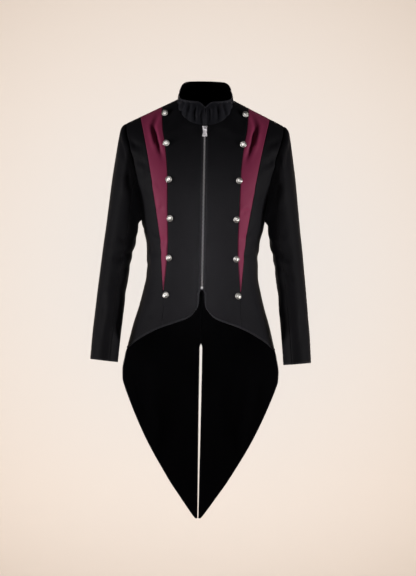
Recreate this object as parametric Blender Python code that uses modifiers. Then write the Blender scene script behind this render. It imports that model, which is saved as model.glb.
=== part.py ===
"""A stand-collar tailcoat with a zip, burgundy insets and two rows of shank buttons.

The coat keeps its worn, hollow form. Its origin is the middle of the neck opening, level with the
points where the shoulder seams meet the collar. The front faces -Y. Left is the wearer's left, at +X.
Sizes are in millimetres, and MM turns them into Blender's metres.
"""

import math

import bmesh
import bpy
import numpy as np
from mathutils import Matrix, Vector
from mathutils.bvhtree import BVHTree

MM = 0.001

# Cloth and seams
WALL = 2.0
SEAM = 0.3
SIDES = {"left": 1, "right": -1}

# Body form. Each section is a rounded oval round MIDDLE_Y, wider than a true ellipse.
# Above the underarm its half width runs on inside the sleeve, where the armhole cuts it off.
MIDDLE_Y = 5.0
BODY_REACH = 400.0
SQUARENESS = 2.3
RIDGE_BAND = 0.5
PROBE_TURN = 0.4
PROBE_RISE = 0.4
PROBE_END = 0.05
BODY_SECTIONS = [
    # height, half width, front depth, back depth
    (20, 262, 66, 112),
    (0, 258, 70, 112),
    (-72, 246, 84, 113),
    (-140, 226, 107, 119),
    (-200, 203, 122, 124),
    (-250, 182, 128, 124),
    (-290, 168, 128, 121),
    (-345, 160, 124, 112),
    (-387, 149.5, 118, 102),
    (-430, 147, 114, 96),
    (-472, 148, 113, 99),
    (-514, 156, 115, 107),
    (-556, 166.5, 118, 115),
    (-599, 179.5, 122, 121),
    (-641, 190, 126, 125),
    (-684, 200.1, 129, 127),
    (-726, 207.9, 130, 128),
    (-747, 209.8, 130, 128),
    (-768, 210.8, 130, 128),
    (-811, 215.2, 130, 127),
    (-860, 219, 130, 125),
    (-900, 221, 130, 124),
    (-1120, 226, 130, 117),
]

# Shoulders and neck
NECK_HALF = 73.0
NECK_POINT_Z = -4.5
NECK_FRONT_Z = -72.0
NECK_BACK_Z = -8.0
NECK_SQUARENESS = 2.2
SHOULDER_SLOPE = 0.494
SHOULDER_X = 207.0
SHOULDER_ROUND = 90.0
SHOULDER_SHARPNESS = 1.6

# Levels that every panel has a row at
UNDERARM_Z = -290.0
INSET_TIP_Z = -511.0
SIDE_HEM_Z = -668.0
VENT_TOP_Z = -652.0
TAIL_TIP_Z = -1117.0

# Seams and edges, each as its distance out from the middle at a height
ARMHOLE = [
    # height, distance out
    (-70.7, 207),
    (-84, 208),
    (-100, 206),
    (-142, 194),
    (-199, 180.5),
    (-252, 172),
    (-290, 168),
]
INSET_INNER = [
    # height, distance out
    (-25, 114.5),
    (-80, 111.5),
    (-110, 107),
    (-154, 101),
    (-201, 97),
    (-305, 95),
    (-371, 93),
    (-410, 93.5),
    (-448, 96),
    (-511, 101.9),
]
INSET_OUTER = [
    # height, distance out
    (-52, 171.5),
    (-110, 159),
    (-155, 150),
    (-228, 137.3),
    (-305, 125),
    (-371, 114.5),
    (-415, 110),
    (-458, 107.5),
    (-511, 103.1),
]
PRINCESS_SEAM = [
    # height, distance out
    (-511, 102.5),
    (-535, 100.5),
    (-610, 105),
]
FRONT_EDGE_X = 3.4
FRONT_PART = [
    # height, distance out of the front edge below the zip
    (-511, 3.4),
    (-519, 6.8),
    (-540, 7.6),
    (-554, 10),
    (-561, 14),
]
FRONT_HEM = [
    # distance out, height
    (14, -561),
    (18.4, -567),
    (24, -574.5),
    (33, -582.5),
    (46, -589),
    (62, -594.5),
    (104, -609),
    (124, -618),
    (170, -645),
    (192, -663),
    (199, -668),
]
TAIL_EDGE = [
    # height, distance out
    (-668, 196.5),
    (-690, 201),
    (-726, 206.5),
    (-747, 206),
    (-768, 200.5),
    (-811, 184.5),
    (-853, 167),
    (-896, 147),
    (-938, 125),
    (-980, 100.5),
    (-1023, 74),
    (-1065, 45),
    (-1095, 24),
    (-1110, 13),
    (-1117, 7),
]
VENT_HALF = 3.4
VENT_TAPER = 9.0
VENT_HALF_TIP = 1.3

# Rows and columns of the panels
RING_STEPS = 8
UNDERARM_TO_TIP_ROWS = 6
TIP_TO_HEM_ROWS = 3
HEM_SHARES = [0, 0.05, 0.12, 0.22, 0.36, 0.5, 0.63, 0.76, 0.88, 1]
TAIL_ROWS = [0, 0.02, 0.06, 0.11, 0.16, 0.22, 0.31, 0.4, 0.5, 0.6, 0.7, 0.8, 0.89, 0.95, 0.98, 1]
NECK_COLUMNS = 7
FRONT_SHOULDER_COLUMNS = 2
BACK_SHOULDER_COLUMNS = 5
INSET_COLUMNS = 4
FRONT_SIDE_COLUMNS = 7

# Soft flutes that the tails hang in, and the slack fold that crosses each inset
FLUTE_DEPTH = 5.0
FLUTE_PITCH = 104.0
FLUTE_TOP_Z = -640.0
FLUTE_FULL_Z = -900.0
INSET_FOLD = [
    # height, distance out
    (-45, 123),
    (-77, 137),
    (-120, 127),
    (-164, 110),
]
INSET_FOLD_DEPTH = 2.2
INSET_FOLD_WIDTH = 9.0

# Sleeves: where each ring crosses the outline, its half depth and the middle of its depth
SLEEVE_SEAM = 0.4
SLEEVE_RINGS = [
    # outer x, outer z, inner x, inner z, half depth, middle y, share of the armhole's shape
    (213.5, -74.6, 170.5, -292, 67, 4, 0.85),
    (222, -84.5, 171.5, -300, 69, 3, 0.6),
    (228, -113, 171.5, -312, 70, 2, 0.35),
    (235, -160, 171.5, -324, 69, 1, 0.15),
    (243, -217, 171.5, -337, 67, 0, 0),
    (250, -280, 172, -356, 64, -2, 0),
    (257, -344, 177, -388, 61, -4, 0),
    (264, -400, 186, -425, 58, -6, 0),
    (270, -455, 193.5, -468, 56, -8, 0),
    (276, -510, 200.5, -520, 54, -11, 0),
    (282, -570, 207, -578, 52, -15, 0),
    (288, -630, 213, -637, 50, -19, 0),
    (292.5, -697, 219, -704, 47.5, -25, 0),
]
SLEEVE_FRONT_SEAM = 5
SLEEVE_BACK_SEAM = 11
ELBOW_FOLDS = [
    # height at the inside of the arm, depth, width, lean
    (-372, 2.2, 11, 0.35),
    (-412, 2.8, 10, 0.2),
    (-446, 2.0, 12, -0.15),
    (-520, 1.6, 16, -0.3),
]

# Collar
COLLAR_GAP = 0.8
COLLAR_HALF = 69.5
COLLAR_DEPTH = 63.0
NECK_DEPTH = 70.0
COLLAR_TOP = [
    # distance behind the neck's middle, height of the top edge
    (-63, -10),
    (-40, -6),
    (-20, -1),
    (0, 6),
    (20, 21),
    (34, 35),
    (50, 43),
    (63, 45),
]
COLLAR_CORNER_DROP = 16.0
COLLAR_CORNER_WIDTH = 24.0
COLLAR_CORNER_XS = [COLLAR_GAP, 5, 10]
COLLAR_STRAIGHT_TO_X = 20.0
COLLAR_ROWS = 3

# Zip
TAPE_HALF = 13.0
TAPE_THICK = 0.9
TAPE_CLEAR = 0.05
CHAIN_HALF = 2.9
CHAIN_PROUD = 0.4
SLIDER_Z = -81.0
SLIDER_LONG = 14.0
SLIDER_THICK = 2.0
SLIDER_OUT = 0.9
SLIDER_HALF_TOP = 7.4
SLIDER_HALF_END = 5.4
BRIDGE_HALF = 2.6
BRIDGE_LONG = 2.6
BRIDGE_LAP_BACK = 0.6
BRIDGE_LAP_FRONT = 0.5
BACK_PLATE_THICK = 1.4
BACK_PLATE_SHORTER = 2.0
SLIDER_CLEAR = 0.15
HINGE_ALONG = 0.5
HINGE_ABOVE_PLATE = 1.3
BAIL_RADIUS = 2.9
BAIL_HOLE = 1.55
BAIL_HALF = 1.4
PULL_THICK = 1.6
PULL_OUTLINE = [
    # distance from the hinge, half width
    (-0.8, 3.2),
    (0.2, 4.0),
    (4.2, 4.2),
    (6.0, 5.5),
    (12.0, 4.9),
    (18.0, 6.0),
    (21.5, 6.8),
    (23.4, 6.2),
    (24.3, 4.4),
]
PULL_SLOT = (0.8, 3.5, 1.9)
STOP_HALF = 3.0
STOP_TOP_Z = -500.0
STOP_LONG = 7.5
STOP_THICK = 1.5

# Buttons
BUTTON_SPOTS = [
    # distance out, height, lean on its shank from the cloth's facing towards the front, in degrees
    (106.0, -43.5, 22),
    (101.5, -123.0, 8),
    (92.3, -219.0, 0),
    (87.0, -321.5, 0),
    (87.9, -426.0, 0),
    (94.5, -524.0, 0),
]
SHANK_RADIUS = 2.2
BUTTON_PROFILE = [
    # distance from the button's axis, height above the cloth
    (0.0, 7.8),
    (4.6, 7.1),
    (7.6, 5.4),
    (9.0, 3.7),
    (8.2, 2.9),
    (2.6, 3.0),
    (SHANK_RADIUS, SEAM),
    (0.0, SEAM),
]
BUTTON_SIDES = 12

# Finishes: colour, roughness, metallic
BLACK_CLOTH = ((0.012, 0.012, 0.014), 0.85, 0.0)
COLLAR_CLOTH = ((0.014, 0.015, 0.019), 0.8, 0.0)
BURGUNDY_CLOTH = ((0.17, 0.018, 0.045), 0.55, 0.0)
ZIP_TAPE = ((0.02, 0.02, 0.022), 0.8, 0.0)
SILVER = ((0.62, 0.61, 0.6), 0.32, 1.0)
ZIP_METAL = ((0.6, 0.59, 0.6), 0.28, 1.0)


class Profile:
    """A smooth curve through the rows of a short table, keyed by the table's first column."""

    def __init__(self, rows):
        ordered = sorted(rows)
        self.keys = np.array([row[0] for row in ordered], float)
        self.values = np.array([row[1:] for row in ordered], float)
        chords = np.diff(self.values, axis=0) / np.diff(self.keys)[:, None]
        before, after = chords[:-1], chords[1:]
        same_way = before * after > 0
        both = np.where(same_way, before + after, 1)
        gentle = np.where(same_way, 2 * before * after / both, 0)
        self.slopes = np.vstack([chords[:1], gentle, chords[-1:]])

    def __call__(self, key):
        key = min(max(key, self.keys[0]), self.keys[-1])
        i = int(np.clip(np.searchsorted(self.keys, key) - 1, 0, len(self.keys) - 2))
        step = self.keys[i + 1] - self.keys[i]
        t = (key - self.keys[i]) / step
        start = self.values[i] * (1 + 2 * t) + self.slopes[i] * step * t
        end = self.values[i + 1] * (3 - 2 * t) - self.slopes[i + 1] * step * (1 - t)
        result = start * (1 - t) ** 2 + end * t ** 2
        return result if len(result) > 1 else float(result[0])


body_section = Profile(BODY_SECTIONS)
armhole_x = Profile(ARMHOLE)
inset_inner_x = Profile(INSET_INNER)
inset_outer_x = Profile(INSET_OUTER)
princess_x = Profile(PRINCESS_SEAM)
front_part_x = Profile(FRONT_PART)
front_hem_z = Profile(FRONT_HEM)
tail_edge_x = Profile(TAIL_EDGE)
inset_fold_x = Profile(INSET_FOLD)
collar_top_z = Profile(COLLAR_TOP)


# The form that every body panel is cut from

def shoulder_z(x):
    """Height of the shoulder seam, a straight line that levels off over the neck opening."""
    if x > NECK_HALF:
        return NECK_POINT_Z - SHOULDER_SLOPE * (x - NECK_HALF)
    return NECK_POINT_Z + SHOULDER_SLOPE * (NECK_HALF - x * x / NECK_HALF) / 2


def neck_front_z(x):
    """Height of the front neckline at a distance out."""
    rise = (1 - min(x / NECK_HALF, 1) ** NECK_SQUARENESS) ** (1 / NECK_SQUARENESS)
    return NECK_POINT_Z + (NECK_FRONT_Z - NECK_POINT_Z) * rise


def neck_back_z(x):
    """Height of the back neckline at a distance out."""
    rise = (1 - min(x / NECK_HALF, 1) ** NECK_SQUARENESS) ** (1 / NECK_SQUARENESS)
    return NECK_POINT_Z + (NECK_BACK_Z - NECK_POINT_Z) * rise


def shoulder_share(x, z):
    """How far the form has opened out below the shoulder seam, from 0 at the seam to 1."""
    drop = min(max((shoulder_z(x) - z) / SHOULDER_ROUND, 0), 1)
    return (1 - (1 - drop) ** SHOULDER_SHARPNESS) ** (1 / SHOULDER_SHARPNESS)


def flute(x, z):
    """Soft wave of the hanging tails."""
    share = min(max((FLUTE_TOP_Z - z) / (FLUTE_TOP_Z - FLUTE_FULL_Z), 0), 1)
    return FLUTE_DEPTH * share * share * (3 - 2 * share) * math.cos(2 * math.pi * x / FLUTE_PITCH)


def inset_fold(x, z):
    """Depth of the slack fold that crosses the inset, from the shoulder seam down."""
    fade = shoulder_share(x, z) * min(max((z - INSET_FOLD[-1][0] + 20) / 40, 0), 1)
    away = (x - inset_fold_x(z)) / INSET_FOLD_WIDTH
    return INSET_FOLD_DEPTH * fade * math.exp(-away * away)


def body_point(angle, z):
    """Point of the form at an angle round its section: 0 centre front, 90 side, 180 centre back."""
    half, front, back = body_section(z)
    sine = abs(math.sin(math.radians(angle)))
    cosine = abs(math.cos(math.radians(angle)))
    x = half * sine ** (2 / SQUARENESS)
    share = cosine ** (2 / SQUARENESS) * shoulder_share(x, z)
    if angle <= 90:
        return np.array([x, MIDDLE_Y - front * share + inset_fold(x, z), z])
    return np.array([x, MIDDLE_Y + back * share + flute(x, z), z])


def section_angle(x, z, back=False):
    """Angle round the section, front or back, at a distance out."""
    share = min(x / body_section(z)[0], 1)
    angle = math.degrees(math.asin(share ** (SQUARENESS / 2)))
    return 180 - angle if back else angle


def body_normal(angle, z):
    """Outward direction of the form. Neighbouring panels share it, so their edges stay parallel."""
    x = body_point(angle, z)[0]
    if shoulder_z(x) - z < RIDGE_BAND:
        ridge = np.array([SHOULDER_SLOPE, 0, 1])
        return ridge / np.linalg.norm(ridge)
    low = max(angle - PROBE_TURN, PROBE_END)
    high = min(angle + PROBE_TURN, 180 - PROBE_END)
    round_body = body_point(high, z) - body_point(low, z)
    up_body = body_point(angle, min(z + PROBE_RISE, shoulder_z(x))) - body_point(angle, z - PROBE_RISE)
    normal = np.cross(round_body, up_body)
    return normal / np.linalg.norm(normal)


# Panels: grids of (angle, height) between seams, then walls

def ring_shares():
    """Shares of the height from shoulder to underarm, even round the armhole's ring."""
    return [(1 - math.cos(math.pi * i / RING_STEPS)) / 2 for i in range(RING_STEPS + 1)]


def even_shares(rows):
    """Evenly spaced shares from 0 to 1."""
    return [i / rows for i in range(rows + 1)]


def patch(upper, lower, inner_x, outer_x, shares, back):
    """Rows of (angle, height) between two level rows, pulled to the seams at both ends."""
    rows = []
    last = len(upper) - 1
    for share in shares:
        row = [np.array(a) * (1 - share) + np.array(b) * share for a, b in zip(upper, lower)]
        inner_slip = section_angle(inner_x(row[0][1]), row[0][1], back) - row[0][0]
        outer_slip = section_angle(outer_x(row[last][1]), row[last][1], back) - row[last][0]
        for k, cell in enumerate(row):
            cell[0] += inner_slip * (1 - k / last) + outer_slip * k / last
        rows.append(row)
    return rows


def level_row(inner, outer, z, columns, back):
    """Row of (angle, height) at one height between two distances out."""
    start = section_angle(inner, z, back)
    end = section_angle(outer, z, back)
    return [(start + (end - start) * k / columns, z) for k in range(columns + 1)]


def top_row(xs, height, back):
    """Row of (angle, height) along a neckline or shoulder seam."""
    return [(section_angle(x, height(x), back), height(x)) for x in xs]


def neck_xs(first):
    """Distances out along the neckline, closer together where it turns up."""
    steps = [NECK_HALF * math.sin(math.pi / 2 * k / NECK_COLUMNS) for k in range(NECK_COLUMNS + 1)]
    return [first] + steps[1:]


def spread(start, end, columns):
    """Evenly spaced distances after start, up to end."""
    return [start + (end - start) * (k + 1) / columns for k in range(columns)]


def open_seams(points, edges, half_gap=SEAM / 2):
    """Draws the named edges of a grid back by half a seam's gap each."""
    lines = {
        "top": (points[0], points[1]),
        "bottom": (points[-1], points[-2]),
        "inner": (points[:, 0], points[:, 1]),
        "outer": (points[:, -1], points[:, -2]),
    }
    for edge in edges:
        line, inside = lines[edge]
        towards = inside - line
        line += half_gap * towards / np.linalg.norm(towards, axis=1, keepdims=True)


def panel_points(rows, edges):
    """Outer and inner points of a panel's wall."""
    outer = np.array([[body_point(*cell) for cell in row] for row in rows])
    normals = np.array([[body_normal(*cell) for cell in row] for row in rows])
    open_seams(outer, edges)
    return outer, outer - WALL * normals


def grid_wall(name, outer, inner, finish, side=1):
    """Closed wall between two grids of points that have the same rows and columns."""
    rows, columns = outer.shape[:2]
    flip = np.array([side, 1, 1]) * MM
    mesh = bmesh.new()
    skins = []
    for grid in (outer, inner):
        skins.append([[mesh.verts.new(point * flip) for point in row] for row in grid])
    for skin in skins:
        for i in range(rows - 1):
            for j in range(columns - 1):
                mesh.faces.new((skin[i][j], skin[i + 1][j], skin[i + 1][j + 1], skin[i][j + 1]))
    border = [(0, j) for j in range(columns)]
    border += [(i, columns - 1) for i in range(1, rows)]
    border += [(rows - 1, j) for j in range(columns - 2, -1, -1)]
    border += [(i, 0) for i in range(rows - 2, 0, -1)]
    for (i, j), (m, n) in zip(border, border[1:] + border[:1]):
        mesh.faces.new((skins[0][i][j], skins[0][m][n], skins[1][m][n], skins[1][i][j]))
    bmesh.ops.recalc_face_normals(mesh, faces=mesh.faces)
    return mesh_object(name, mesh, finish)


# Objects, finishes and collections

def clear_scene():
    """Removes what the scene holds before the coat is built."""
    for thing in list(bpy.data.objects):
        bpy.data.objects.remove(thing, do_unlink=True)


def new_collection(name):
    """A new collection in the scene."""
    collection = bpy.data.collections.new(name)
    bpy.context.scene.collection.children.link(collection)
    return collection


def material(name, finish):
    """Principled material with a colour, a roughness and a metallic value."""
    colour, roughness, metallic = finish
    made = bpy.data.materials.new(name)
    made.use_nodes = True
    shader = made.node_tree.nodes["Principled BSDF"]
    shader.inputs["Base Color"].default_value = (*colour, 1)
    shader.inputs["Roughness"].default_value = roughness
    shader.inputs["Metallic"].default_value = metallic
    return made


def mesh_object(name, mesh, finish, collection=None):
    """Turns a bmesh into a smooth-shaded object of the coat."""
    data = bpy.data.meshes.new(name)
    mesh.to_mesh(data)
    mesh.free()
    data.shade_smooth()
    data.set_sharp_from_angle(angle=math.radians(40))
    made = bpy.data.objects.new(name, data)
    made.data.materials.append(material(name, finish))
    (collection or COAT).objects.link(made)
    return made


def as_cutter(thing):
    """Marks an object that only shapes another one."""
    thing.hide_render = True
    thing.display_type = "WIRE"
    return thing


def combine(thing, other, operation):
    """Joins or cuts an object with another."""
    modifier = thing.modifiers.new(operation.lower() + "_" + other.name, "BOOLEAN")
    modifier.operation = operation
    modifier.solver = "EXACT"
    modifier.object = as_cutter(other)


# Cloth pieces

def front_hem_row(xs):
    """Row of (angle, height) along the cut-away hem."""
    return [(section_angle(x, front_hem_z(x)), front_hem_z(x)) for x in xs]


def front_rows(top, inner_x, outer_x, lower_inner_x, lower_outer_x, hem_xs):
    """Rows of a front panel from its top edge to the hem."""
    columns = len(top) - 1
    underarm = level_row(inner_x(UNDERARM_Z), outer_x(UNDERARM_Z), UNDERARM_Z, columns, False)
    tip = level_row(inner_x(INSET_TIP_Z), outer_x(INSET_TIP_Z), INSET_TIP_Z, columns, False)
    rows = patch(top, underarm, inner_x, outer_x, ring_shares(), False)
    rows += patch(underarm, tip, inner_x, outer_x, even_shares(UNDERARM_TO_TIP_ROWS), False)[1:]
    if hem_xs:
        hem = front_hem_row(hem_xs)
        lower = patch(tip, hem, lower_inner_x, lower_outer_x, even_shares(TIP_TO_HEM_ROWS), False)
        rows += lower[1:]
    return rows


def side_x(z):
    """Outer edge of the side front: armhole, then side seam."""
    return armhole_x(z) if z > UNDERARM_Z else body_section(z)[0]


def front_edge_x(z):
    """Distance of the front edge from the middle, above the cut-away."""
    return FRONT_EDGE_X


def centre_back_x(z):
    """Distance of the centre-back seam from the middle."""
    return 0.0


def build_fronts():
    """The three front panels of each side. Returns the armhole's front points and the centre face."""
    neck = neck_xs(FRONT_EDGE_X)
    inner_top = inset_inner_x(shoulder_z(INSET_INNER[0][1]))
    outer_top = inset_outer_x(shoulder_z(INSET_OUTER[0][1]))
    shoulder = spread(NECK_HALF, inner_top, FRONT_SHOULDER_COLUMNS)
    centre_top = top_row(neck, neck_front_z, False) + top_row(shoulder, shoulder_z, False)
    centre_columns = len(centre_top) - 1
    corner = FRONT_HEM[0][0]
    seam_hem = princess_x(PRINCESS_SEAM[-1][0])
    centre_hem = [corner + (seam_hem - corner) * share for share in HEM_SHARES[:centre_columns + 1]]
    centre = front_rows(
        centre_top, front_edge_x, inset_inner_x, front_part_x, princess_x, centre_hem
    )
    inset_top = top_row([inner_top] + spread(inner_top, outer_top, INSET_COLUMNS), shoulder_z, False)
    inset = front_rows(inset_top, inset_inner_x, inset_outer_x, None, None, None)
    side_top_xs = [outer_top] + spread(outer_top, SHOULDER_X, FRONT_SIDE_COLUMNS)
    side_hem = [seam_hem] + spread(seam_hem, body_section(SIDE_HEM_Z)[0], FRONT_SIDE_COLUMNS)
    side_front = front_rows(
        top_row(side_top_xs, shoulder_z, False), inset_outer_x, side_x, princess_x, side_x, side_hem
    )
    for name, side in SIDES.items():
        outer, inner = panel_points(inset, ["inner", "outer", "top", "bottom"])
        grid_wall("inset_" + name, outer, inner, BURGUNDY_CLOTH, side)
        outer, inner = panel_points(side_front, ["inner", "outer", "top"])
        grid_wall("front_side_" + name, outer, inner, BLACK_CLOTH, side)
        outer, inner = panel_points(centre, ["outer"])
        open_seams_at_shoulder(outer, inner)
        grid_wall("front_centre_" + name, outer, inner, BLACK_CLOTH, side)
    return [cell[-1] for cell in side_front[:RING_STEPS + 1]], grid_tree(outer)


def grid_tree(grid):
    """Search tree of a grid's faces, for seating what lies on the cloth."""
    rows, columns = grid.shape[:2]
    faces = []
    for i in range(rows - 1):
        for j in range(columns - 1):
            corner = i * columns + j
            faces.append((corner, corner + columns, corner + columns + 1, corner + 1))
    return BVHTree.FromPolygons([Vector(point) for point in grid.reshape(-1, 3)], faces)


def open_seams_at_shoulder(outer, inner):
    """Draws back only the shoulder stretch of a top edge, so that the neckline stays put."""
    for k in range(NECK_COLUMNS, outer.shape[1]):
        towards = outer[1, k] - outer[0, k]
        shift = SEAM / 2 * towards / np.linalg.norm(towards)
        outer[0, k] += shift
        inner[0, k] += shift


def build_backs():
    """The backs, each in one piece with its tail. Returns the armhole's back points."""
    neck = neck_xs(0)
    shoulder = spread(NECK_HALF, SHOULDER_X, BACK_SHOULDER_COLUMNS)
    top = top_row(neck, neck_back_z, True) + top_row(shoulder, shoulder_z, True)
    columns = len(top) - 1
    vent_x = Profile([(VENT_TOP_Z, 0), (VENT_TOP_Z - VENT_TAPER, VENT_HALF), (TAIL_TIP_Z, VENT_HALF_TIP)])
    underarm = level_row(0, side_x(UNDERARM_Z), UNDERARM_Z, columns, True)
    tip = level_row(0, side_x(INSET_TIP_Z), INSET_TIP_Z, columns, True)
    hip = []
    for k in range(columns + 1):
        z = VENT_TOP_Z + (SIDE_HEM_Z - VENT_TOP_Z) * k / columns
        hip.append((180 - 90 * k / columns, z))
    tail = level_row(VENT_HALF_TIP, tail_edge_x(TAIL_TIP_Z), TAIL_TIP_Z, columns, True)
    rows = patch(top, underarm, centre_back_x, side_x, ring_shares(), True)
    rows += patch(underarm, tip, centre_back_x, side_x, even_shares(UNDERARM_TO_TIP_ROWS), True)[1:]
    rows += patch(tip, hip, centre_back_x, side_x, even_shares(TIP_TO_HEM_ROWS), True)[1:]
    rows += patch(hip, tail, vent_x, tail_edge_x, TAIL_ROWS, True)[1:]
    for name, side in SIDES.items():
        outer, inner = panel_points(rows, ["inner", "outer"])
        open_seams_at_shoulder(outer, inner)
        grid_wall("back_" + name, outer, inner, BLACK_CLOTH, side)
    return [cell[-1] for cell in rows[:RING_STEPS + 1]]


def build_sleeves(front_edge, back_edge):
    """Top and under sleeve of each side, from the armhole's ring to the cuff."""
    front = [body_point(*cell) for cell in front_edge]
    back = [body_point(*cell) for cell in back_edge]
    armhole = np.array(front + back[-2:0:-1])
    armhole[:, 0] += SLEEVE_SEAM
    count = len(armhole)
    angles = [2 * math.pi * i / count for i in range(count)]
    outer_end, inner_end = armhole[0], armhole[count // 2]
    across = (outer_end - inner_end) / 2
    middle = (outer_end + inner_end) / 2
    half = np.linalg.norm(across)
    up = across / half
    out = np.array([up[2], 0, -up[0]])
    seam_shape = []
    for point in armhole:
        away = point - middle
        seam_shape.append((away @ up / half, away[1], away @ out))
    rings = [armhole]
    for outer_x, outer_z, inner_x, inner_z, depth, mid_y, share in SLEEVE_RINGS:
        top = np.array([outer_x, mid_y, outer_z])
        end = np.array([inner_x, mid_y, inner_z])
        half = np.linalg.norm(top - end) / 2
        up = (top - end) / (2 * half)
        out = np.array([up[2], 0, -up[0]])
        ring = []
        for angle, (seam_up, seam_y, seam_out) in zip(angles, seam_shape):
            high = (1 - share) * math.cos(angle) + share * seam_up
            deep = -(1 - share) * depth * math.sin(angle) + share * seam_y
            point = (top + end) / 2 + high * half * up + share * seam_out * out
            ring.append(point + np.array([0, deep, 0]))
        rings.append(np.array(ring))
    tube = np.array(rings)
    normals = tube_normals(tube)
    tube -= normals * sleeve_folds(tube, angles)[..., None]
    top_columns = [i % count for i in range(SLEEVE_BACK_SEAM, count + SLEEVE_FRONT_SEAM + 1)]
    under_columns = list(range(SLEEVE_FRONT_SEAM, SLEEVE_BACK_SEAM + 1))
    for name, side in SIDES.items():
        for piece, columns in (("sleeve_top_", top_columns), ("sleeve_under_", under_columns)):
            outer = tube[:, columns].copy()
            open_seams(outer, ["inner", "outer"], SLEEVE_SEAM / 2)
            grid_wall(piece + name, outer, outer - WALL * normals[:, columns], BLACK_CLOTH, side)


def sleeve_folds(tube, angles):
    """Depth of the soft folds at the inside of the elbow, which fade round to the outside."""
    depths = np.zeros(tube.shape[:2])
    for fold_z, depth, width, lean in ELBOW_FOLDS:
        for k, angle in enumerate(angles):
            inside = (1 - math.cos(angle)) / 2
            centre = fold_z + lean * (tube[:, k, 1] - tube[:, :, 1].mean(axis=1))
            away = (tube[:, k, 2] - centre) / width
            depths[:, k] += depth * inside * np.exp(-away * away)
    return depths


def tube_normals(tube):
    """Outward directions of a tube given as rings of points."""
    round_tube = np.roll(tube, -1, axis=1) - np.roll(tube, 1, axis=1)
    along = np.gradient(tube, axis=0)
    normals = np.cross(along, round_tube)
    normals /= np.linalg.norm(normals, axis=2, keepdims=True)
    centres = tube.mean(axis=1, keepdims=True)
    outward = np.sign(((tube - centres) * normals).sum(axis=(1, 2), keepdims=True))
    return normals * outward


def build_collar():
    """Stand collar: one wall round the neck, open at the front, with rounded ends."""
    front = [body_point(*cell) for cell in top_row(neck_xs(FRONT_EDGE_X), neck_front_z, False)]
    back = [body_point(*cell) for cell in top_row(neck_xs(0), neck_back_z, True)]
    first, second = front[0], front[1]
    slope = (second - first) / (second[0] - first[0])
    ends = [first + slope * (x - first[0]) for x in COLLAR_CORNER_XS]
    seam = ends + front[1:] + back[-2::-1]
    half_ring = []
    for point in seam:
        turn = math.atan2(point[0] / NECK_HALF, -(point[1] - MIDDLE_Y) / NECK_DEPTH)
        half_ring.append((point, turn))
    lower, upper = [], []
    for point, turn in half_ring:
        x = point[0]
        if x > COLLAR_STRAIGHT_TO_X:
            x = COLLAR_HALF * math.sin(turn) ** (2 / SQUARENESS)
        deep = math.copysign(abs(math.cos(turn)) ** (2 / SQUARENESS), math.cos(turn))
        y = -deep * COLLAR_DEPTH
        z = collar_top_z(y)
        if turn < math.pi / 2:
            z -= COLLAR_CORNER_DROP * max(1 - point[0] / COLLAR_CORNER_WIDTH, 0) ** 2
        top = np.array([x, y, z])
        rise = (top - point) / np.linalg.norm(top - point)
        lower.append(point + SEAM * rise)
        upper.append(top)
    mirror = np.array([-1, 1, 1])
    lower = lower + [point * mirror for point in lower[-2::-1]]
    upper = upper + [point * mirror for point in upper[-2::-1]]
    shares = even_shares(COLLAR_ROWS)
    outer = np.array([[a * (1 - s) + b * s for a, b in zip(lower, upper)] for s in shares])
    round_neck = np.gradient(outer, axis=1)
    rise = np.broadcast_to(outer[-1] - outer[0], outer.shape)
    normals = np.cross(round_neck, rise)
    normals /= np.linalg.norm(normals, axis=2, keepdims=True)
    grid_wall("collar", outer, outer - WALL * normals, COLLAR_CLOTH)


# Zip

def zip_frame(z):
    """Matrix at a height of the centre front: X across, Y out of the cloth, Z down along it."""
    point = body_point(0, z)
    normal = body_normal(0, z)
    down = np.array([0, -normal[2], normal[1]])
    down = down if down[2] < 0 else -down
    rotation = Matrix((
        (1, 0, 0),
        (0, normal[1], down[1]),
        (0, normal[2], down[2]),
    ))
    return Matrix.Translation(Vector(point) * MM) @ rotation.to_4x4()


def zip_rows():
    """Heights of the front edge's rows, which the zip shares."""
    top, underarm = NECK_FRONT_Z, UNDERARM_Z
    upper = [top + (underarm - top) * share for share in ring_shares()]
    lower = [underarm + (INSET_TIP_Z - underarm) * s for s in even_shares(UNDERARM_TO_TIP_ROWS)]
    return upper[1:] + lower[1:]


def build_zip_tape():
    """Tape behind the front edges, with its closed chain standing between them."""
    behind = WALL + SEAM + TAPE_CLEAR
    outline = [
        # distance out, depth behind the cloth's outer face
        (-TAPE_HALF, behind),
        (-CHAIN_HALF, behind),
        (-CHAIN_HALF, -CHAIN_PROUD),
        (CHAIN_HALF, -CHAIN_PROUD),
        (CHAIN_HALF, behind),
        (TAPE_HALF, behind),
        (TAPE_HALF, behind + TAPE_THICK),
        (-TAPE_HALF, behind + TAPE_THICK),
    ]
    mesh = bmesh.new()
    rings = []
    for z in zip_rows():
        point, normal = body_point(0, z), body_normal(0, z)
        ring = [point + np.array([x, 0, 0]) - depth * normal for x, depth in outline]
        rings.append([mesh.verts.new(corner * MM) for corner in ring])
    for upper, lower in zip(rings, rings[1:]):
        for k in range(len(outline)):
            n = (k + 1) % len(outline)
            mesh.faces.new((upper[k], upper[n], lower[n], lower[k]))
    mesh.faces.new(rings[0])
    mesh.faces.new(rings[-1])
    bmesh.ops.recalc_face_normals(mesh, faces=mesh.faces)
    mesh_object("zip_tape", mesh, ZIP_TAPE)


def block(name, low, high, finish, collection=None, end_half=None):
    """Box between two corners in the zip's own frame, narrower at its lower end if asked."""
    mesh = bmesh.new()
    bmesh.ops.create_cube(mesh, size=1)
    low, high = np.array(low, float), np.array(high, float)
    for vert in mesh.verts:
        lower_end = vert.co.z > 0
        corner = (low + high) / 2 + np.array(vert.co) * (high - low)
        if end_half and lower_end:
            corner[0] = math.copysign(end_half, corner[0])
        vert.co = Vector(corner * MM)
    return mesh_object(name, mesh, finish, collection)


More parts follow.
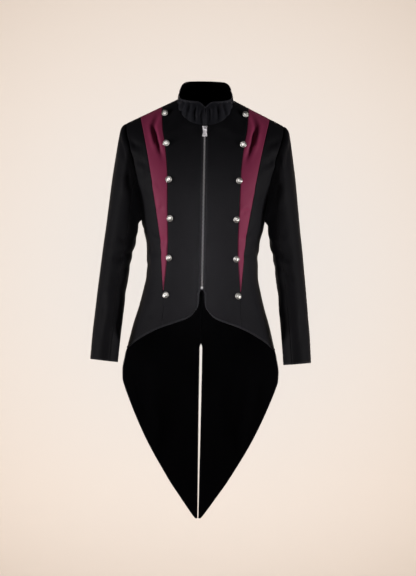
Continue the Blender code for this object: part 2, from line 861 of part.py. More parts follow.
def barrel(name, radius, half_length, along, out, finish, collection):
    """Short cylinder across the zip, in the zip's own frame."""
    mesh = bmesh.new()
    bmesh.ops.create_cone(
        mesh, cap_ends=True, segments=16, radius1=radius * MM, radius2=radius * MM,
        depth=2 * half_length * MM,
    )
    bmesh.ops.rotate(mesh, verts=mesh.verts, matrix=Matrix.Rotation(math.pi / 2, 3, "Y"))
    bmesh.ops.translate(mesh, verts=mesh.verts, vec=Vector((0, out, along)) * MM)
    return mesh_object(name, mesh, finish, collection)


def build_slider():
    """Slider: front plate, the bridge over the chain's end, back plate and the bail for the pull."""
    place = zip_frame(SLIDER_Z)
    front = SLIDER_OUT + SLIDER_THICK
    back = -(WALL + 2 * SEAM + SLIDER_CLEAR + TAPE_THICK)
    top, end = -SLIDER_LONG / 2, SLIDER_LONG / 2
    slider = block(
        "zip_slider", (-SLIDER_HALF_TOP, SLIDER_OUT, top), (SLIDER_HALF_TOP, front, end),
        ZIP_METAL, end_half=SLIDER_HALF_END,
    )
    bridge = block(
        "slider_bridge", (-BRIDGE_HALF, back - BRIDGE_LAP_BACK, top),
        (BRIDGE_HALF, front - BRIDGE_LAP_FRONT, top + BRIDGE_LONG),
        ZIP_METAL, CUTTERS,
    )
    plate = block(
        "slider_back", (-SLIDER_HALF_END, back - BACK_PLATE_THICK, top),
        (SLIDER_HALF_END, back, end - BACK_PLATE_SHORTER),
        ZIP_METAL, CUTTERS,
    )
    hinge_out = front + HINGE_ABOVE_PLATE
    bail = barrel("slider_bail", BAIL_RADIUS, BAIL_HALF, HINGE_ALONG, hinge_out, ZIP_METAL, CUTTERS)
    hole = barrel("slider_hole", BAIL_HOLE, 2 * BAIL_HALF, HINGE_ALONG, hinge_out, ZIP_METAL, CUTTERS)
    for piece in (slider, bridge, plate, bail, hole):
        piece.matrix_world = place
    combine(slider, bridge, "UNION")
    combine(slider, plate, "UNION")
    combine(slider, bail, "UNION")
    combine(slider, hole, "DIFFERENCE")


def build_pull():
    """Flat pull tab, whose slot goes round the bail and whose top bar turns in it."""
    outline = [(half, along) for along, half in PULL_OUTLINE]
    outline += [(-half, along) for along, half in reversed(PULL_OUTLINE)]
    slot_start, slot_end, slot_half = PULL_SLOT
    slot = [(-slot_half, slot_start), (slot_half, slot_start), (slot_half, slot_end), (-slot_half, slot_end)]
    data = bpy.data.curves.new("zip_pull", "CURVE")
    data.dimensions = "2D"
    data.fill_mode = "BOTH"
    data.extrude = PULL_THICK / 2 * MM
    for corners in (outline, slot):
        spline = data.splines.new("POLY")
        spline.points.add(len(corners) - 1)
        for point, (x, along) in zip(spline.points, corners):
            point.co = (x * MM, along * MM, 0, 1)
        spline.use_cyclic_u = True
    data.materials.append(material("zip_pull", ZIP_METAL))
    pull = bpy.data.objects.new("zip_pull", data)
    COAT.objects.link(pull)
    hinge = Vector((0, SLIDER_OUT + SLIDER_THICK + HINGE_ABOVE_PLATE, HINGE_ALONG)) * MM
    lay_flat = Matrix.Rotation(math.pi / 2, 4, "X")
    pull.matrix_world = zip_frame(SLIDER_Z) @ Matrix.Translation(hinge) @ lay_flat


def build_stop():
    """Bottom stop of the zip, on the end of the chain."""
    stop = block(
        "zip_stop", (-STOP_HALF, CHAIN_PROUD + SEAM, 0),
        (STOP_HALF, CHAIN_PROUD + SEAM + STOP_THICK, STOP_LONG), ZIP_METAL,
    )
    stop.matrix_world = zip_frame(STOP_TOP_Z)


# Buttons

def build_buttons(cloth):
    """Domed shank buttons, square to the cloth beside the insets."""
    for name, side in SIDES.items():
        for number, (x, z, lean) in enumerate(BUTTON_SPOTS, start=1):
            mesh = bmesh.new()
            corners = [mesh.verts.new((radius * MM, 0, high * MM)) for radius, high in BUTTON_PROFILE]
            for upper, lower in zip(corners, corners[1:]):
                mesh.edges.new((upper, lower))
            button = mesh_object("button_%s_%d" % (name, number), mesh, SILVER)
            turned = button.modifiers.new("turned", "SCREW")
            turned.steps = BUTTON_SIDES
            turned.render_steps = BUTTON_SIDES
            turned.use_merge_vertices = True
            turned.merge_threshold = 0.00005
            angle = section_angle(x, z)
            seat = cloth.ray_cast(Vector((x, -BODY_REACH, z)), Vector((0, 1, 0)))[0]
            place = Vector((side * seat.x, seat.y, seat.z)) * MM
            square = Vector(body_normal(angle, z) * np.array([side, 1, 1]))
            tip = Matrix.Rotation(math.radians(lean), 3, square.cross(Vector((0, -1, 0))))
            facing = tip @ square
            place += facing * SHANK_RADIUS * math.sin(math.radians(lean)) * MM
            turn = facing.to_track_quat("Z", "Y").to_matrix().to_4x4()
            button.matrix_world = Matrix.Translation(place) @ turn


clear_scene()
COAT = new_collection("tailcoat")
CUTTERS = new_collection("cutters")
front_edge, centre_cloth = build_fronts()
back_edge = build_backs()
build_sleeves(front_edge, back_edge)
build_collar()
build_zip_tape()
build_slider()
build_pull()
build_stop()
build_buttons(centre_cloth)
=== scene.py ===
"""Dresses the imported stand-collar tailcoat with its finished cloth, zip, buttons and sewing.

Sizes are in millimetres in the tables and classes, and MM turns them into Blender's metres.
The coat's origin is the middle of the neck opening, its front faces -Y, and left is the wearer's
left, at +X. Angles round the body run from 0 at the centre front over 90 at the side to 180 behind.
"""

from __future__ import annotations

import logging
import math
import sys
from dataclasses import dataclass, field
from enum import Enum
from typing import Callable, Iterable, Sequence

import bpy
import numpy as np
from mathutils import Matrix, Vector

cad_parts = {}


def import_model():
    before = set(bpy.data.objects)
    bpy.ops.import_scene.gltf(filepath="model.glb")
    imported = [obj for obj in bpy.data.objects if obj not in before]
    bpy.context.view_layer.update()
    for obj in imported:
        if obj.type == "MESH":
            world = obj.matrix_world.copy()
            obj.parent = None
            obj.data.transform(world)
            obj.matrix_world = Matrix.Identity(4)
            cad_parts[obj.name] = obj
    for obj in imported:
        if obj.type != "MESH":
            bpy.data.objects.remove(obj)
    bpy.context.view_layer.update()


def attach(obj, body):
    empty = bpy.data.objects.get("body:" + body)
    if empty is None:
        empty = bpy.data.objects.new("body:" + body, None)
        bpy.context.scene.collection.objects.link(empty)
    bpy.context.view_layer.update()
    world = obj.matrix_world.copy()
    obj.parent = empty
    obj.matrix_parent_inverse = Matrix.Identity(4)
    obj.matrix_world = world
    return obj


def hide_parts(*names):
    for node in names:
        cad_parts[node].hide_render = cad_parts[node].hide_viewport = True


MM = 0.001
LOG = logging.getLogger("tailcoat")
Array = np.ndarray
Rows = Sequence[Sequence[float]]


class Side(Enum):
    """The wearer's side, as the sign of its x."""

    LEFT = 1
    RIGHT = -1

    @property
    def word(self) -> str:
        """The side as it stands in the names of the nodes."""
        return self.name.lower()


class Face(Enum):
    """Where a crease's path is told: by distance out in front or behind, or by angle round."""

    FRONT = "front"
    BACK = "back"
    ROUND = "round"


class Edge(Enum):
    """The four edges of a cloth piece that is made in rows and columns."""

    TOP = "top"
    BOTTOM = "bottom"
    INNER = "inner"
    OUTER = "outer"


# The tables below repeat the coat's own pattern. Each row starts with a height, if not told otherwise.

BODY_SECTIONS: Rows = (
    # height, half width, front depth, back depth
    (20, 262, 66, 112),
    (0, 258, 70, 112),
    (-72, 246, 84, 113),
    (-140, 226, 107, 119),
    (-200, 203, 122, 124),
    (-250, 182, 128, 124),
    (-290, 168, 128, 121),
    (-345, 160, 124, 112),
    (-387, 149.5, 118, 102),
    (-430, 147, 114, 96),
    (-472, 148, 113, 99),
    (-514, 156, 115, 107),
    (-556, 166.5, 118, 115),
    (-599, 179.5, 122, 121),
    (-641, 190, 126, 125),
    (-684, 200.1, 129, 127),
    (-726, 207.9, 130, 128),
    (-747, 209.8, 130, 128),
    (-768, 210.8, 130, 128),
    (-811, 215.2, 130, 127),
    (-860, 219, 130, 125),
    (-900, 221, 130, 124),
    (-1120, 226, 130, 117),
)
ARMHOLE: Rows = (
    (-70.7, 207), (-84, 208), (-100, 206), (-142, 194), (-199, 180.5), (-252, 172), (-290, 168),
)
INSET_INNER: Rows = (
    (-25, 114.5), (-80, 111.5), (-110, 107), (-154, 101), (-201, 97),
    (-305, 95), (-371, 93), (-410, 93.5), (-448, 96), (-511, 101.9),
)
INSET_OUTER: Rows = (
    (-52, 171.5), (-110, 159), (-155, 150), (-228, 137.3), (-305, 125),
    (-371, 114.5), (-415, 110), (-458, 107.5), (-511, 103.1),
)
PRINCESS_SEAM: Rows = ((-511, 102.5), (-535, 100.5), (-610, 105))
FRONT_PART: Rows = ((-511, 3.4), (-519, 6.8), (-540, 7.6), (-554, 10), (-561, 14))
FRONT_HEM: Rows = (
    # distance out, height
    (14, -561), (18.4, -567), (24, -574.5), (33, -582.5), (46, -589), (62, -594.5),
    (104, -609), (124, -618), (170, -645), (192, -663), (199, -668),
)
HEM_SPACING = (0, 0.05, 0.12, 0.22, 0.36, 0.5, 0.63, 0.76, 0.88, 1)
TAIL_EDGE: Rows = (
    (-668, 196.5), (-690, 201), (-726, 206.5), (-747, 206), (-768, 200.5), (-811, 184.5),
    (-853, 167), (-896, 147), (-938, 125), (-980, 100.5), (-1023, 74), (-1065, 45),
    (-1095, 24), (-1110, 13), (-1117, 7),
)
INSET_FOLD: Rows = ((-45, 123), (-77, 137), (-120, 127), (-164, 110))
SLEEVE_RINGS: Rows = (
    # ring, outer x, outer z, inner x, inner z, half depth, middle y, share of the armhole's shape
    (1, 213.5, -74.6, 170.5, -292, 67, 4, 0.85),
    (2, 222, -84.5, 171.5, -300, 69, 3, 0.6),
    (3, 228, -113, 171.5, -312, 70, 2, 0.35),
    (4, 235, -160, 171.5, -324, 69, 1, 0.15),
    (5, 243, -217, 171.5, -337, 67, 0, 0),
    (6, 250, -280, 172, -356, 64, -2, 0),
    (7, 257, -344, 177, -388, 61, -4, 0),
    (8, 264, -400, 186, -425, 58, -6, 0),
    (9, 270, -455, 193.5, -468, 56, -8, 0),
    (10, 276, -510, 200.5, -520, 54, -11, 0),
    (11, 282, -570, 207, -578, 52, -15, 0),
    (12, 288, -630, 213, -637, 50, -19, 0),
    (13, 292.5, -697, 219, -704, 47.5, -25, 0),
)
COLLAR_TOP: Rows = (
    # distance behind the neck's middle, height of the top edge
    (-63, -10), (-40, -6), (-20, -1), (0, 6), (20, 21), (34, 35), (50, 43), (63, 45),
)

# Where the meshes are finer: distances above a hem, in mm, and shares across beside a seam

CLOSE_ROWS = (0, 0.7, 1.5, 2.4, 3.3, 4.0, 4.6, 5.2, 6.2, 8.0, 11.0)
CLOSE_SHARES = (0, 0.004, 0.009, 0.015, 0.021, 0.027, 0.034, 0.045)


class Profile:
    """A smooth curve through the rows of a table, keyed by its first column."""

    def __init__(self, rows: Rows) -> None:
        """Finds the curve's slopes.

        Args:
            rows: The table. Each row is the key and one or more values.
        """
        ordered = sorted(rows)
        self.keys = np.array([row[0] for row in ordered], float)
        self.values = np.array([row[1:] for row in ordered], float)
        chords = np.diff(self.values, axis=0) / np.diff(self.keys)[:, None]
        before, after = chords[:-1], chords[1:]
        same_way = before * after > 0
        both = np.where(same_way, before + after, 1)
        gentle = np.where(same_way, 2 * before * after / both, 0)
        self.slopes = np.vstack([chords[:1], gentle, chords[-1:]])

    def __call__(self, key: Array | float) -> Array:
        """Reads the curve.

        Args:
            key: Where to read it, one number or many.

        Returns:
            The value at each key, or the values in a last axis where the table has several.
        """
        key = np.clip(np.asarray(key, float), self.keys[0], self.keys[-1])
        i = np.clip(np.searchsorted(self.keys, key) - 1, 0, len(self.keys) - 2)
        step = (self.keys[i + 1] - self.keys[i])[..., None]
        t = (key - self.keys[i])[..., None] / step
        start = self.values[i] * (1 + 2 * t) + self.slopes[i] * step * t
        end = self.values[i + 1] * (3 - 2 * t) - self.slopes[i + 1] * step * (1 - t)
        result = start * (1 - t) ** 2 + end * t ** 2
        return result if result.shape[-1] > 1 else result[..., 0]


def profile(rows: Rows) -> Profile:
    """A field of a dataclass that holds the profile of a table."""
    return field(default_factory=lambda: Profile(rows))


def smooth(low: float, high: float, value: Array | float) -> Array:
    """Soft step.

    Args:
        low: Where the step starts from 0.
        high: Where it reaches 1.
        value: Where to read it.

    Returns:
        The step's height at each value.
    """
    share = np.clip((np.asarray(value, float) - low) / (high - low), 0, 1)
    return share * share * (3 - 2 * share)


@dataclass(frozen=True)
class BodyForm:
    """The worn form that every body panel is cut from."""

    middle_y: float = 5.0
    squareness: float = 2.3
    neck_half: float = 73.0
    neck_point_z: float = -4.5
    neck_front_z: float = -72.0
    neck_back_z: float = -8.0
    neck_squareness: float = 2.2
    shoulder_slope: float = 0.494
    shoulder_x: float = 207.0
    shoulder_round: float = 90.0
    shoulder_sharpness: float = 1.6
    underarm_z: float = -290.0
    inset_tip_z: float = -511.0
    side_hem_z: float = -668.0
    vent_top_z: float = -652.0
    tail_tip_z: float = -1117.0
    flute_depth: float = 5.0
    flute_pitch: float = 104.0
    flute_top_z: float = -640.0
    flute_full_z: float = -900.0
    fold_depth: float = 2.2
    fold_width: float = 9.0
    fold_fade: float = 40.0
    probe_turn: float = 0.4
    probe_rise: float = 0.4
    probe_end: float = 0.05
    ridge_band: tuple[float, float] = (0.2, 1.2)
    section: Profile = profile(BODY_SECTIONS)
    armhole_x: Profile = profile(ARMHOLE)
    inset_inner_x: Profile = profile(INSET_INNER)
    inset_outer_x: Profile = profile(INSET_OUTER)
    princess_x: Profile = profile(PRINCESS_SEAM)
    front_part_x: Profile = profile(FRONT_PART)
    front_hem_z: Profile = profile(FRONT_HEM)
    tail_edge_x: Profile = profile(TAIL_EDGE)
    fold_x: Profile = profile(INSET_FOLD)

    def shoulder_z(self, x: Array) -> Array:
        """Height of the shoulder seam at a distance out.

        Args:
            x: Distance out.

        Returns:
            The heights.
        """
        over_neck = self.neck_point_z + self.shoulder_slope * (self.neck_half - x * x / self.neck_half) / 2
        return np.where(
            x > self.neck_half, self.neck_point_z - self.shoulder_slope * (x - self.neck_half), over_neck
        )

    def neckline_z(self, x: Array, middle_z: float) -> Array:
        """Height of a neckline.

        Args:
            x: Distance out.
            middle_z: The neckline's height at the centre.

        Returns:
            The heights.
        """
        share = np.clip(x / self.neck_half, 0, 1) ** self.neck_squareness
        rise = (1 - share) ** (1 / self.neck_squareness)
        return self.neck_point_z + (middle_z - self.neck_point_z) * rise

    def opened(self, x: Array, z: Array) -> Array:
        """How far the form has opened out below the shoulder seam, from 0 at the seam to 1."""
        drop = np.clip((self.shoulder_z(x) - z) / self.shoulder_round, 0, 1)
        return (1 - (1 - drop) ** self.shoulder_sharpness) ** (1 / self.shoulder_sharpness)

    def point(self, angle: Array, z: Array) -> Array:
        """Points of the form.

        Args:
            angle: Angles round the body, in degrees.
            z: Heights.

        Returns:
            The points on the wearer's left, in a last axis of three.
        """
        angle, z = np.broadcast_arrays(np.asarray(angle, float), np.asarray(z, float))
        half, front, back = np.moveaxis(self.section(z), -1, 0)
        sine = np.abs(np.sin(np.radians(angle)))
        cosine = np.abs(np.cos(np.radians(angle)))
        x = half * sine ** (2 / self.squareness)
        opened = self.opened(x, z)
        share = cosine ** (2 / self.squareness) * opened
        above_end = z - INSET_FOLD[-1][0] + self.fold_fade / 2
        fade = opened * np.clip(above_end / self.fold_fade, 0, 1)
        fold = self.fold_depth * fade * np.exp(-(((x - self.fold_x(z)) / self.fold_width) ** 2))
        hang = smooth(0, 1, (self.flute_top_z - z) / (self.flute_top_z - self.flute_full_z))
        flute = self.flute_depth * hang * np.cos(2 * math.pi * x / self.flute_pitch)
        front_y = self.middle_y - front * share + fold
        back_y = self.middle_y + back * share + flute
        return np.stack([x, np.where(angle <= 90, front_y, back_y), z], axis=-1)

    def angle_at(self, x: Array, z: Array, back: bool = False) -> Array:
        """Angle round the body at a distance out.

        Args:
            x: Distance out.
            z: Height.
            back: Whether the back is meant.

        Returns:
            The angles, in degrees.
        """
        share = np.clip(x / self.section(z)[..., 0], 0, 1)
        angle = np.degrees(np.arcsin(share ** (self.squareness / 2)))
        return 180 - angle if back else angle

    def normal(self, angle: Array, z: Array) -> Array:
        """Outward directions of the form, shared by neighbouring panels.

        Args:
            angle: Angles round the body, in degrees.
            z: Heights.

        Returns:
            Unit directions on the wearer's left.
        """
        here = self.point(angle, z)
        top = self.shoulder_z(here[..., 0])
        low = np.clip(angle - self.probe_turn, self.probe_end, 180)
        high = np.clip(angle + self.probe_turn, 0, 180 - self.probe_end)
        round_body = self.point(high, z) - self.point(low, z)
        above = np.minimum(z + self.probe_rise, top)
        up_body = self.point(angle, above) - self.point(angle, z - self.probe_rise)
        normal = np.cross(round_body, up_body)
        normal /= np.maximum(np.linalg.norm(normal, axis=-1, keepdims=True), 1e-9)
        ridge = np.array([self.shoulder_slope, 0, 1]) / math.hypot(self.shoulder_slope, 1)
        near = smooth(*self.ridge_band, top - z)[..., None]
        blended = ridge * (1 - near) + normal * near
        return blended / np.linalg.norm(blended, axis=-1, keepdims=True)


# Creases

# A crease's reach, its crest's distance and width in its own widths, and how fast its ends fade

CREASE_REACH = 5.0
CREST_AWAY = 2.0
CREST_WIDTH = 1.5
CREASE_FADE = 0.75


@dataclass(frozen=True)
class Crease:
    """One soft fold: a trough along a path, with the cloth raised beside it.

    The path is told as (distance out, height) on the front or the back, or as (angle, height) round.
    """

    path: Rows
    depth: float
    width: float
    lift: float
    face: Face
    side: Side

    def relief(self, across: Array, z: Array, path: Array) -> Array:
        """Height that the crease adds to the cloth.

        Args:
            across: Distance round the form of each point, in mm.
            z: Height of each point.
            path: The crease's own path in the same two measures.

        Returns:
            The relief, in mm, negative in the trough.
        """
        reach = CREASE_REACH * self.width
        near = (z > path[:, 1].min() - reach) & (z < path[:, 1].max() + reach)
        near &= (across > path[:, 0].min() - reach) & (across < path[:, 0].max() + reach)
        result = np.zeros(across.shape)
        if not near.any():
            return result
        spots = np.stack([across[near], z[near]], axis=-1)
        lengths = np.linalg.norm(np.diff(path, axis=0), axis=1)
        total = lengths.sum()
        best = np.full(len(spots), 1e9)
        signed, along = np.zeros(len(spots)), np.zeros(len(spots))
        before = 0.0
        for start, end, length in zip(path, path[1:], lengths):
            run = (end - start) / length
            away = spots - start
            t = np.clip(away @ run, 0, length)
            gap = np.linalg.norm(away - t[:, None] * run, axis=1)
            closer = gap < best
            turn = np.sign(run[0] * away[:, 1] - run[1] * away[:, 0])
            best = np.where(closer, gap, best)
            signed = np.where(closer, gap * turn, signed)
            along = np.where(closer, (before + t) / total, along)
            before += length
        fade = np.maximum(np.sin(math.pi * along) ** CREASE_FADE, 0)
        uneven = 1 + 0.22 * np.sin(9 * along + self.depth * 5) + 0.1 * np.sin(23 * along + self.width)
        trough = np.exp(-((signed / self.width) ** 2))
        crest = np.exp(-(((signed - CREST_AWAY * self.width) / (CREST_WIDTH * self.width)) ** 2))
        result[near] = -self.depth * fade * uneven * (trough - self.lift * crest)
        return result


@dataclass(frozen=True)
class CreaseMap:
    """All the creases of one form, with the measure that its points are told in."""

    creases: tuple[Crease, ...]
    mm_per_degree: float
    to_angle: Callable[[Array, Array, bool], Array] | None = None
    strength: float = 1.0

    def relief(self, angle: Array, z: Array, side: Side) -> Array:
        """Relief of every crease on one side.

        Args:
            angle: Angle round the form of each point.
            z: Height of each point.
            side: The wearer's side that is dressed.

        Returns:
            The relief, in mm.
        """
        total = np.zeros(angle.shape)
        for crease in self.creases:
            if side is not crease.side:
                continue
            path = np.array(crease.path, float)
            if crease.face is not Face.ROUND and self.to_angle is not None:
                path[:, 0] = self.to_angle(path[:, 0], path[:, 1], crease.face is Face.BACK)
            path[:, 0] *= self.mm_per_degree
            total += crease.relief(angle * self.mm_per_degree, z, path)
        return total * self.strength


# Thin parts with two skins

def border_pairs(index: Array) -> Array:
    """Pairs of neighbouring point numbers, once round the border of a grid of them."""
    rim = np.concatenate([index[0, :-1], index[:-1, -1], index[-1, :0:-1], index[:0:-1, 0]])
    return np.stack([rim, np.roll(rim, -1)], axis=-1)


def two_skins(index: Array, border: Array) -> Array:
    """Faces of a thin part that has a front skin, a rear skin and a strip that joins them.

    Args:
        index: Numbers of the front skin's points in rows and columns. The rear skin's points follow.
        border: Pairs of point numbers along which the skins are joined.

    Returns:
        The faces: the front skin's, as many of the rear skin's, and the strip's.
    """
    corners = [index[:-1, :-1], index[1:, :-1], index[1:, 1:], index[:-1, 1:]]
    skin = np.stack(corners, axis=-1).reshape(-1, 4)
    start, after = border.T
    strip = np.stack([start, after, after + index.size, start + index.size], axis=-1)
    return np.concatenate([skin, skin[:, ::-1] + index.size, strip])


def write_cut(mesh: bpy.types.Mesh, flat: Array, to_hem: Array) -> None:
    """Gives a mesh the two measures that the weave reads.

    Args:
        mesh: The mesh.
        flat: Place of each point on the flat cut, in metres.
        to_hem: Distance of each point to the nearest hem, in mm.
    """
    loops = np.zeros(len(mesh.loops), np.int32)
    mesh.loops.foreach_get("vertex_index", loops)
    layer = mesh.uv_layers.new(name="cut")
    layer.data.foreach_set("uv", flat[loops].ravel())
    near = mesh.attributes.new("near_edge", "FLOAT", "POINT")
    near.data.foreach_set("value", to_hem.astype(np.float32))


# Cloth pieces as shells

@dataclass(frozen=True)
class Roll:
    """How an edge of the cloth turns in, and the band that is stitched down beside it."""

    depth: float
    reach: float
    band: float = 0.0
    band_width: float = 4.0
    groove: float = 0.0
    step_half: float = 0.5
    groove_beside: float = 0.4
    groove_width: float = 0.8

    def relief(self, away: Array) -> Array:
        """Relief at a distance from the edge.

        Args:
            away: Distance from the edge, in mm.

        Returns:
            The relief, in mm.
        """
        turned = -self.depth * np.exp(-((away / self.reach) ** 2))
        step = smooth(self.band_width - self.step_half, self.band_width + self.step_half, away)
        raised = self.band * (1 - step)
        beside = (away - self.band_width - self.groove_beside) / self.groove_width
        sunk = -self.groove * np.exp(-(beside ** 2))
        return turned + raised + sunk


SEWN = Roll(depth=0.9, reach=1.1)
PLAIN_EDGE = Roll(depth=0.6, reach=0.8)
HEM = Roll(depth=0.6, reach=0.8, band=1.1, band_width=5.0, groove=0.9)
TURNED_HEM = Roll(depth=0.6, reach=0.8, band=0.1, band_width=25.0, groove=0.35)


@dataclass(frozen=True)
class EdgeTurn:
    """How one edge of a piece is turned, and along how much of it."""

    edge: Edge
    roll: Roll
    share: Array | float = 1.0


def turned_edges(top: Roll, bottom: Roll, outer: Roll, inner: Roll) -> tuple[EdgeTurn, ...]:
    """How a piece is turned along each of its four whole edges.

    Args:
        top: The top edge's turn.
        bottom: The bottom edge's.
        outer: The edge's that is further from the coat's middle.
        inner: The edge's that is nearer to it.

    Returns:
        The four turns.
    """
    return (
        EdgeTurn(Edge.TOP, top), EdgeTurn(Edge.BOTTOM, bottom),
        EdgeTurn(Edge.OUTER, outer), EdgeTurn(Edge.INNER, inner),
    )


@dataclass
class Grid:
    """The outer points of a cloth piece in rows and columns, with its outward directions."""

    points: Array
    normals: Array

    def away_from(self, edge: Edge) -> Array:
        """Distance over the cloth from one of the edges.

        Args:
            edge: The edge.

        Returns:
            The distance of every point, in mm.
        """
        axis = 0 if edge in (Edge.TOP, Edge.BOTTOM) else 1
        steps = np.linalg.norm(np.diff(self.points, axis=axis), axis=2)
        along = np.cumsum(steps, axis=axis)
        start = np.zeros_like(np.take(along, [0], axis=axis))
        along = np.concatenate([start, along], axis=axis)
        if edge in (Edge.BOTTOM, Edge.OUTER):
            along = np.take(along, [-1], axis=axis) - along
        return along

    def line_beside(self, edge: Edge, away: float) -> tuple[Array, Array]:
        """Points that run along an edge at a distance from it.

        Args:
            edge: The edge.
            away: The distance, in mm.

        Returns:
            The points and the outward directions there.
        """
        distance = self.away_from(edge)
        points, normals = self.points, self.normals
        if edge in (Edge.TOP, Edge.BOTTOM):
            distance, points, normals = distance.T, points.swapaxes(0, 1), normals.swapaxes(0, 1)
        if edge in (Edge.BOTTOM, Edge.OUTER):
            distance, points, normals = distance[:, ::-1], points[:, ::-1], normals[:, ::-1]
        spots, facings = [], []
        for row, places, facing in zip(distance, points, normals):
            if row[-1] < away:
                continue
            spots.append([np.interp(away, row, places[:, k]) for k in range(3)])
            facings.append([np.interp(away, row, facing[:, k]) for k in range(3)])
        return np.array(spots), np.array(facings)


@dataclass(frozen=True)
class Shell:
    """Makes a closed thin shell of cloth on a grid: face cloth outside, lining inside."""

    wall: float = 2.0
    deepest: float = 0.9
    tuck: float = 0.35
    tuck_reach: float = 1.2
    far: float = 1e3
    off_hem: float = 100.0

    def build(
        self, name: str, grid: Grid, side: Side, turns: Sequence[EdgeTurn],
        cloth: bpy.types.Material, lining: bpy.types.Material,
    ) -> bpy.types.Object:
        """Builds the shell's mesh.

        Args:
            name: The piece's name.
            grid: Its outer points, on the wearer's left.
            side: The side that it is made for.
            turns: How each of its edges is turned.
            cloth: Material of the outer skin and the edges.
            lining: Material of the inner skin.

        Returns:
            The new object.
        """
        rows, columns = grid.points.shape[:2]
        turned = np.zeros((rows, columns))
        nearest = np.full((rows, columns), self.far)
        to_hem = np.full((rows, columns), self.far)
        for turn in turns:
            away = grid.away_from(turn.edge)
            turned += turn.roll.relief(away) * turn.share
            nearest = np.minimum(nearest, away)
            if turn.roll.band:
                to_hem = np.minimum(to_hem, away + self.off_hem * (1 - turn.share))
        turned = np.maximum(turned, -self.deepest)
        outer = grid.points + grid.normals * turned[..., None]
        tuck = self.tuck * np.exp(-((nearest / self.tuck_reach) ** 2))
        inner = grid.points - grid.normals * (self.wall - tuck)[..., None]
        flip = np.array([side.value, 1, 1]) * MM
        points = np.concatenate([outer.reshape(-1, 3), inner.reshape(-1, 3)]) * flip
        index = np.arange(rows * columns).reshape(rows, columns)
        faces = two_skins(index, border_pairs(index))
        skin = (rows - 1) * (columns - 1)
        if self.inside_out(points, faces[skin // 2], grid.normals.reshape(-1, 3) * flip):
            faces = faces[:, ::-1]
        mesh = bpy.data.meshes.new(name)
        mesh.from_pydata(points.tolist(), [], faces.tolist())
        mesh.materials.append(cloth)
        mesh.materials.append(lining)
        slots = np.zeros(len(faces), np.int32)
        slots[skin:2 * skin] = 1
        mesh.polygons.foreach_set("material_index", slots)
        mesh.shade_smooth()
        write_cut(mesh, self.flat(grid), np.tile(to_hem.ravel(), 2))
        mesh.validate()
        piece = bpy.data.objects.new(name, mesh)
        bpy.context.scene.collection.objects.link(piece)
        return piece

    def inside_out(self, points: Array, face: Array, normals: Array) -> bool:
        """Whether a face's own direction is against the cloth's outward direction there."""
        a, b, c = (points[k] for k in face[:3])
        return float(np.cross(b - a, c - b) @ normals[face[0]]) < 0

    def flat(self, grid: Grid) -> Array:
        """Places of a shell's points on the flat cut.

        Args:
            grid: The grid that it is made on.

        Returns:
            The places, in metres.
        """
        across = grid.away_from(Edge.INNER)
        across = across - across[:, [across.shape[1] // 2]]
        down = grid.away_from(Edge.TOP)
        return np.tile(np.stack([across, down], axis=-1).reshape(-1, 2) * MM, (2, 1))


def column_shares(count: int) -> Array:
    """Shares across a piece, closer together beside its edges.

    Args:
        count: Columns in the middle stretch.

    Returns:
        The shares, from 0 to 1.
    """
    low = np.array(CLOSE_SHARES)
    high = 1 - low[::-1]
    middle = np.linspace(low[-1], high[0], count + 1)[1:-1]
    return np.concatenate([low, middle, high])


def even(count: int) -> Array:
    """Evenly spaced shares from 0 to 1."""
    return np.linspace(0, 1, count + 1)


def arc(count: int) -> Array:
    """Shares from 0 to 1 that are closer together at both ends."""
    return (1 - np.cos(math.pi * even(count))) / 2


@dataclass(frozen=True)
class FlatCut:
    """The cut of what shows of a cloth piece before it is sewn, in metres, and what it hangs from."""

    width: float
    length: float
    area: float
    hangs_from: tuple[str, ...] = ()

    def declare(self, piece: bpy.types.Object, side: Side) -> None:
        """Does nothing: the piece is not declared as this sheet.

        Args:
            piece: The piece. Not used.
            side: The wearer's side that it is made for. Not used.
        """


CUTS = {
    "front_centre": FlatCut(0.193, 0.643, 0.0571, ("back_{side}",)),
    "inset": FlatCut(0.063, 0.534, 0.0202, ("back_{side}",)),
    "front_side": FlatCut(0.163, 0.664, 0.0546, ("back_{side}",)),
    "back": FlatCut(0.262, 1.223, 0.2178),
    "sleeve_top": FlatCut(0.369, 0.639, 0.1113, ("front_side_{side}", "back_{side}")),
    "sleeve_under": FlatCut(0.198, 0.492, 0.0544, ("sleeve_top_{side}",)),
    "collar": FlatCut(0.510, 0.064, 0.0202, ("back_left", "back_right")),
    "zip_tape": FlatCut(0.026, 0.450, 0.0117, ("front_centre_left", "front_centre_right")),
}


# Groups of pieces that a light may be flagged to, and the slots whose pieces are in them

PAPER = "studio_paper_only"
METAL = "metal_only"
BLACK = "black_cloth_only"
FLAGS = {"silver_button": METAL, "zip_metal": METAL, "black_cloth": BLACK}


def place(piece: bpy.types.Object, slot: str, nodes: Sequence[str] = (), body: str = "coat") -> None:
    """Lets a piece ride on its body, puts it in its slot's light group where the slot has one, and lets it
    stand for its nodes.

    Args:
        piece: The piece.
        slot: The slot that it is finished with.
        nodes: The nodes that it stands for.
        body: The body that it rides on.
    """
    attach(piece, body)
    if slot in FLAGS:
        bpy.data.collections[FLAGS[slot]].objects.link(piece)
    if nodes:
        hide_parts(*nodes)
    triangles = sum(len(face.vertices) - 2 for face in piece.data.polygons)
    LOG.info("%s: %d triangles on %s", piece.name, triangles, body)


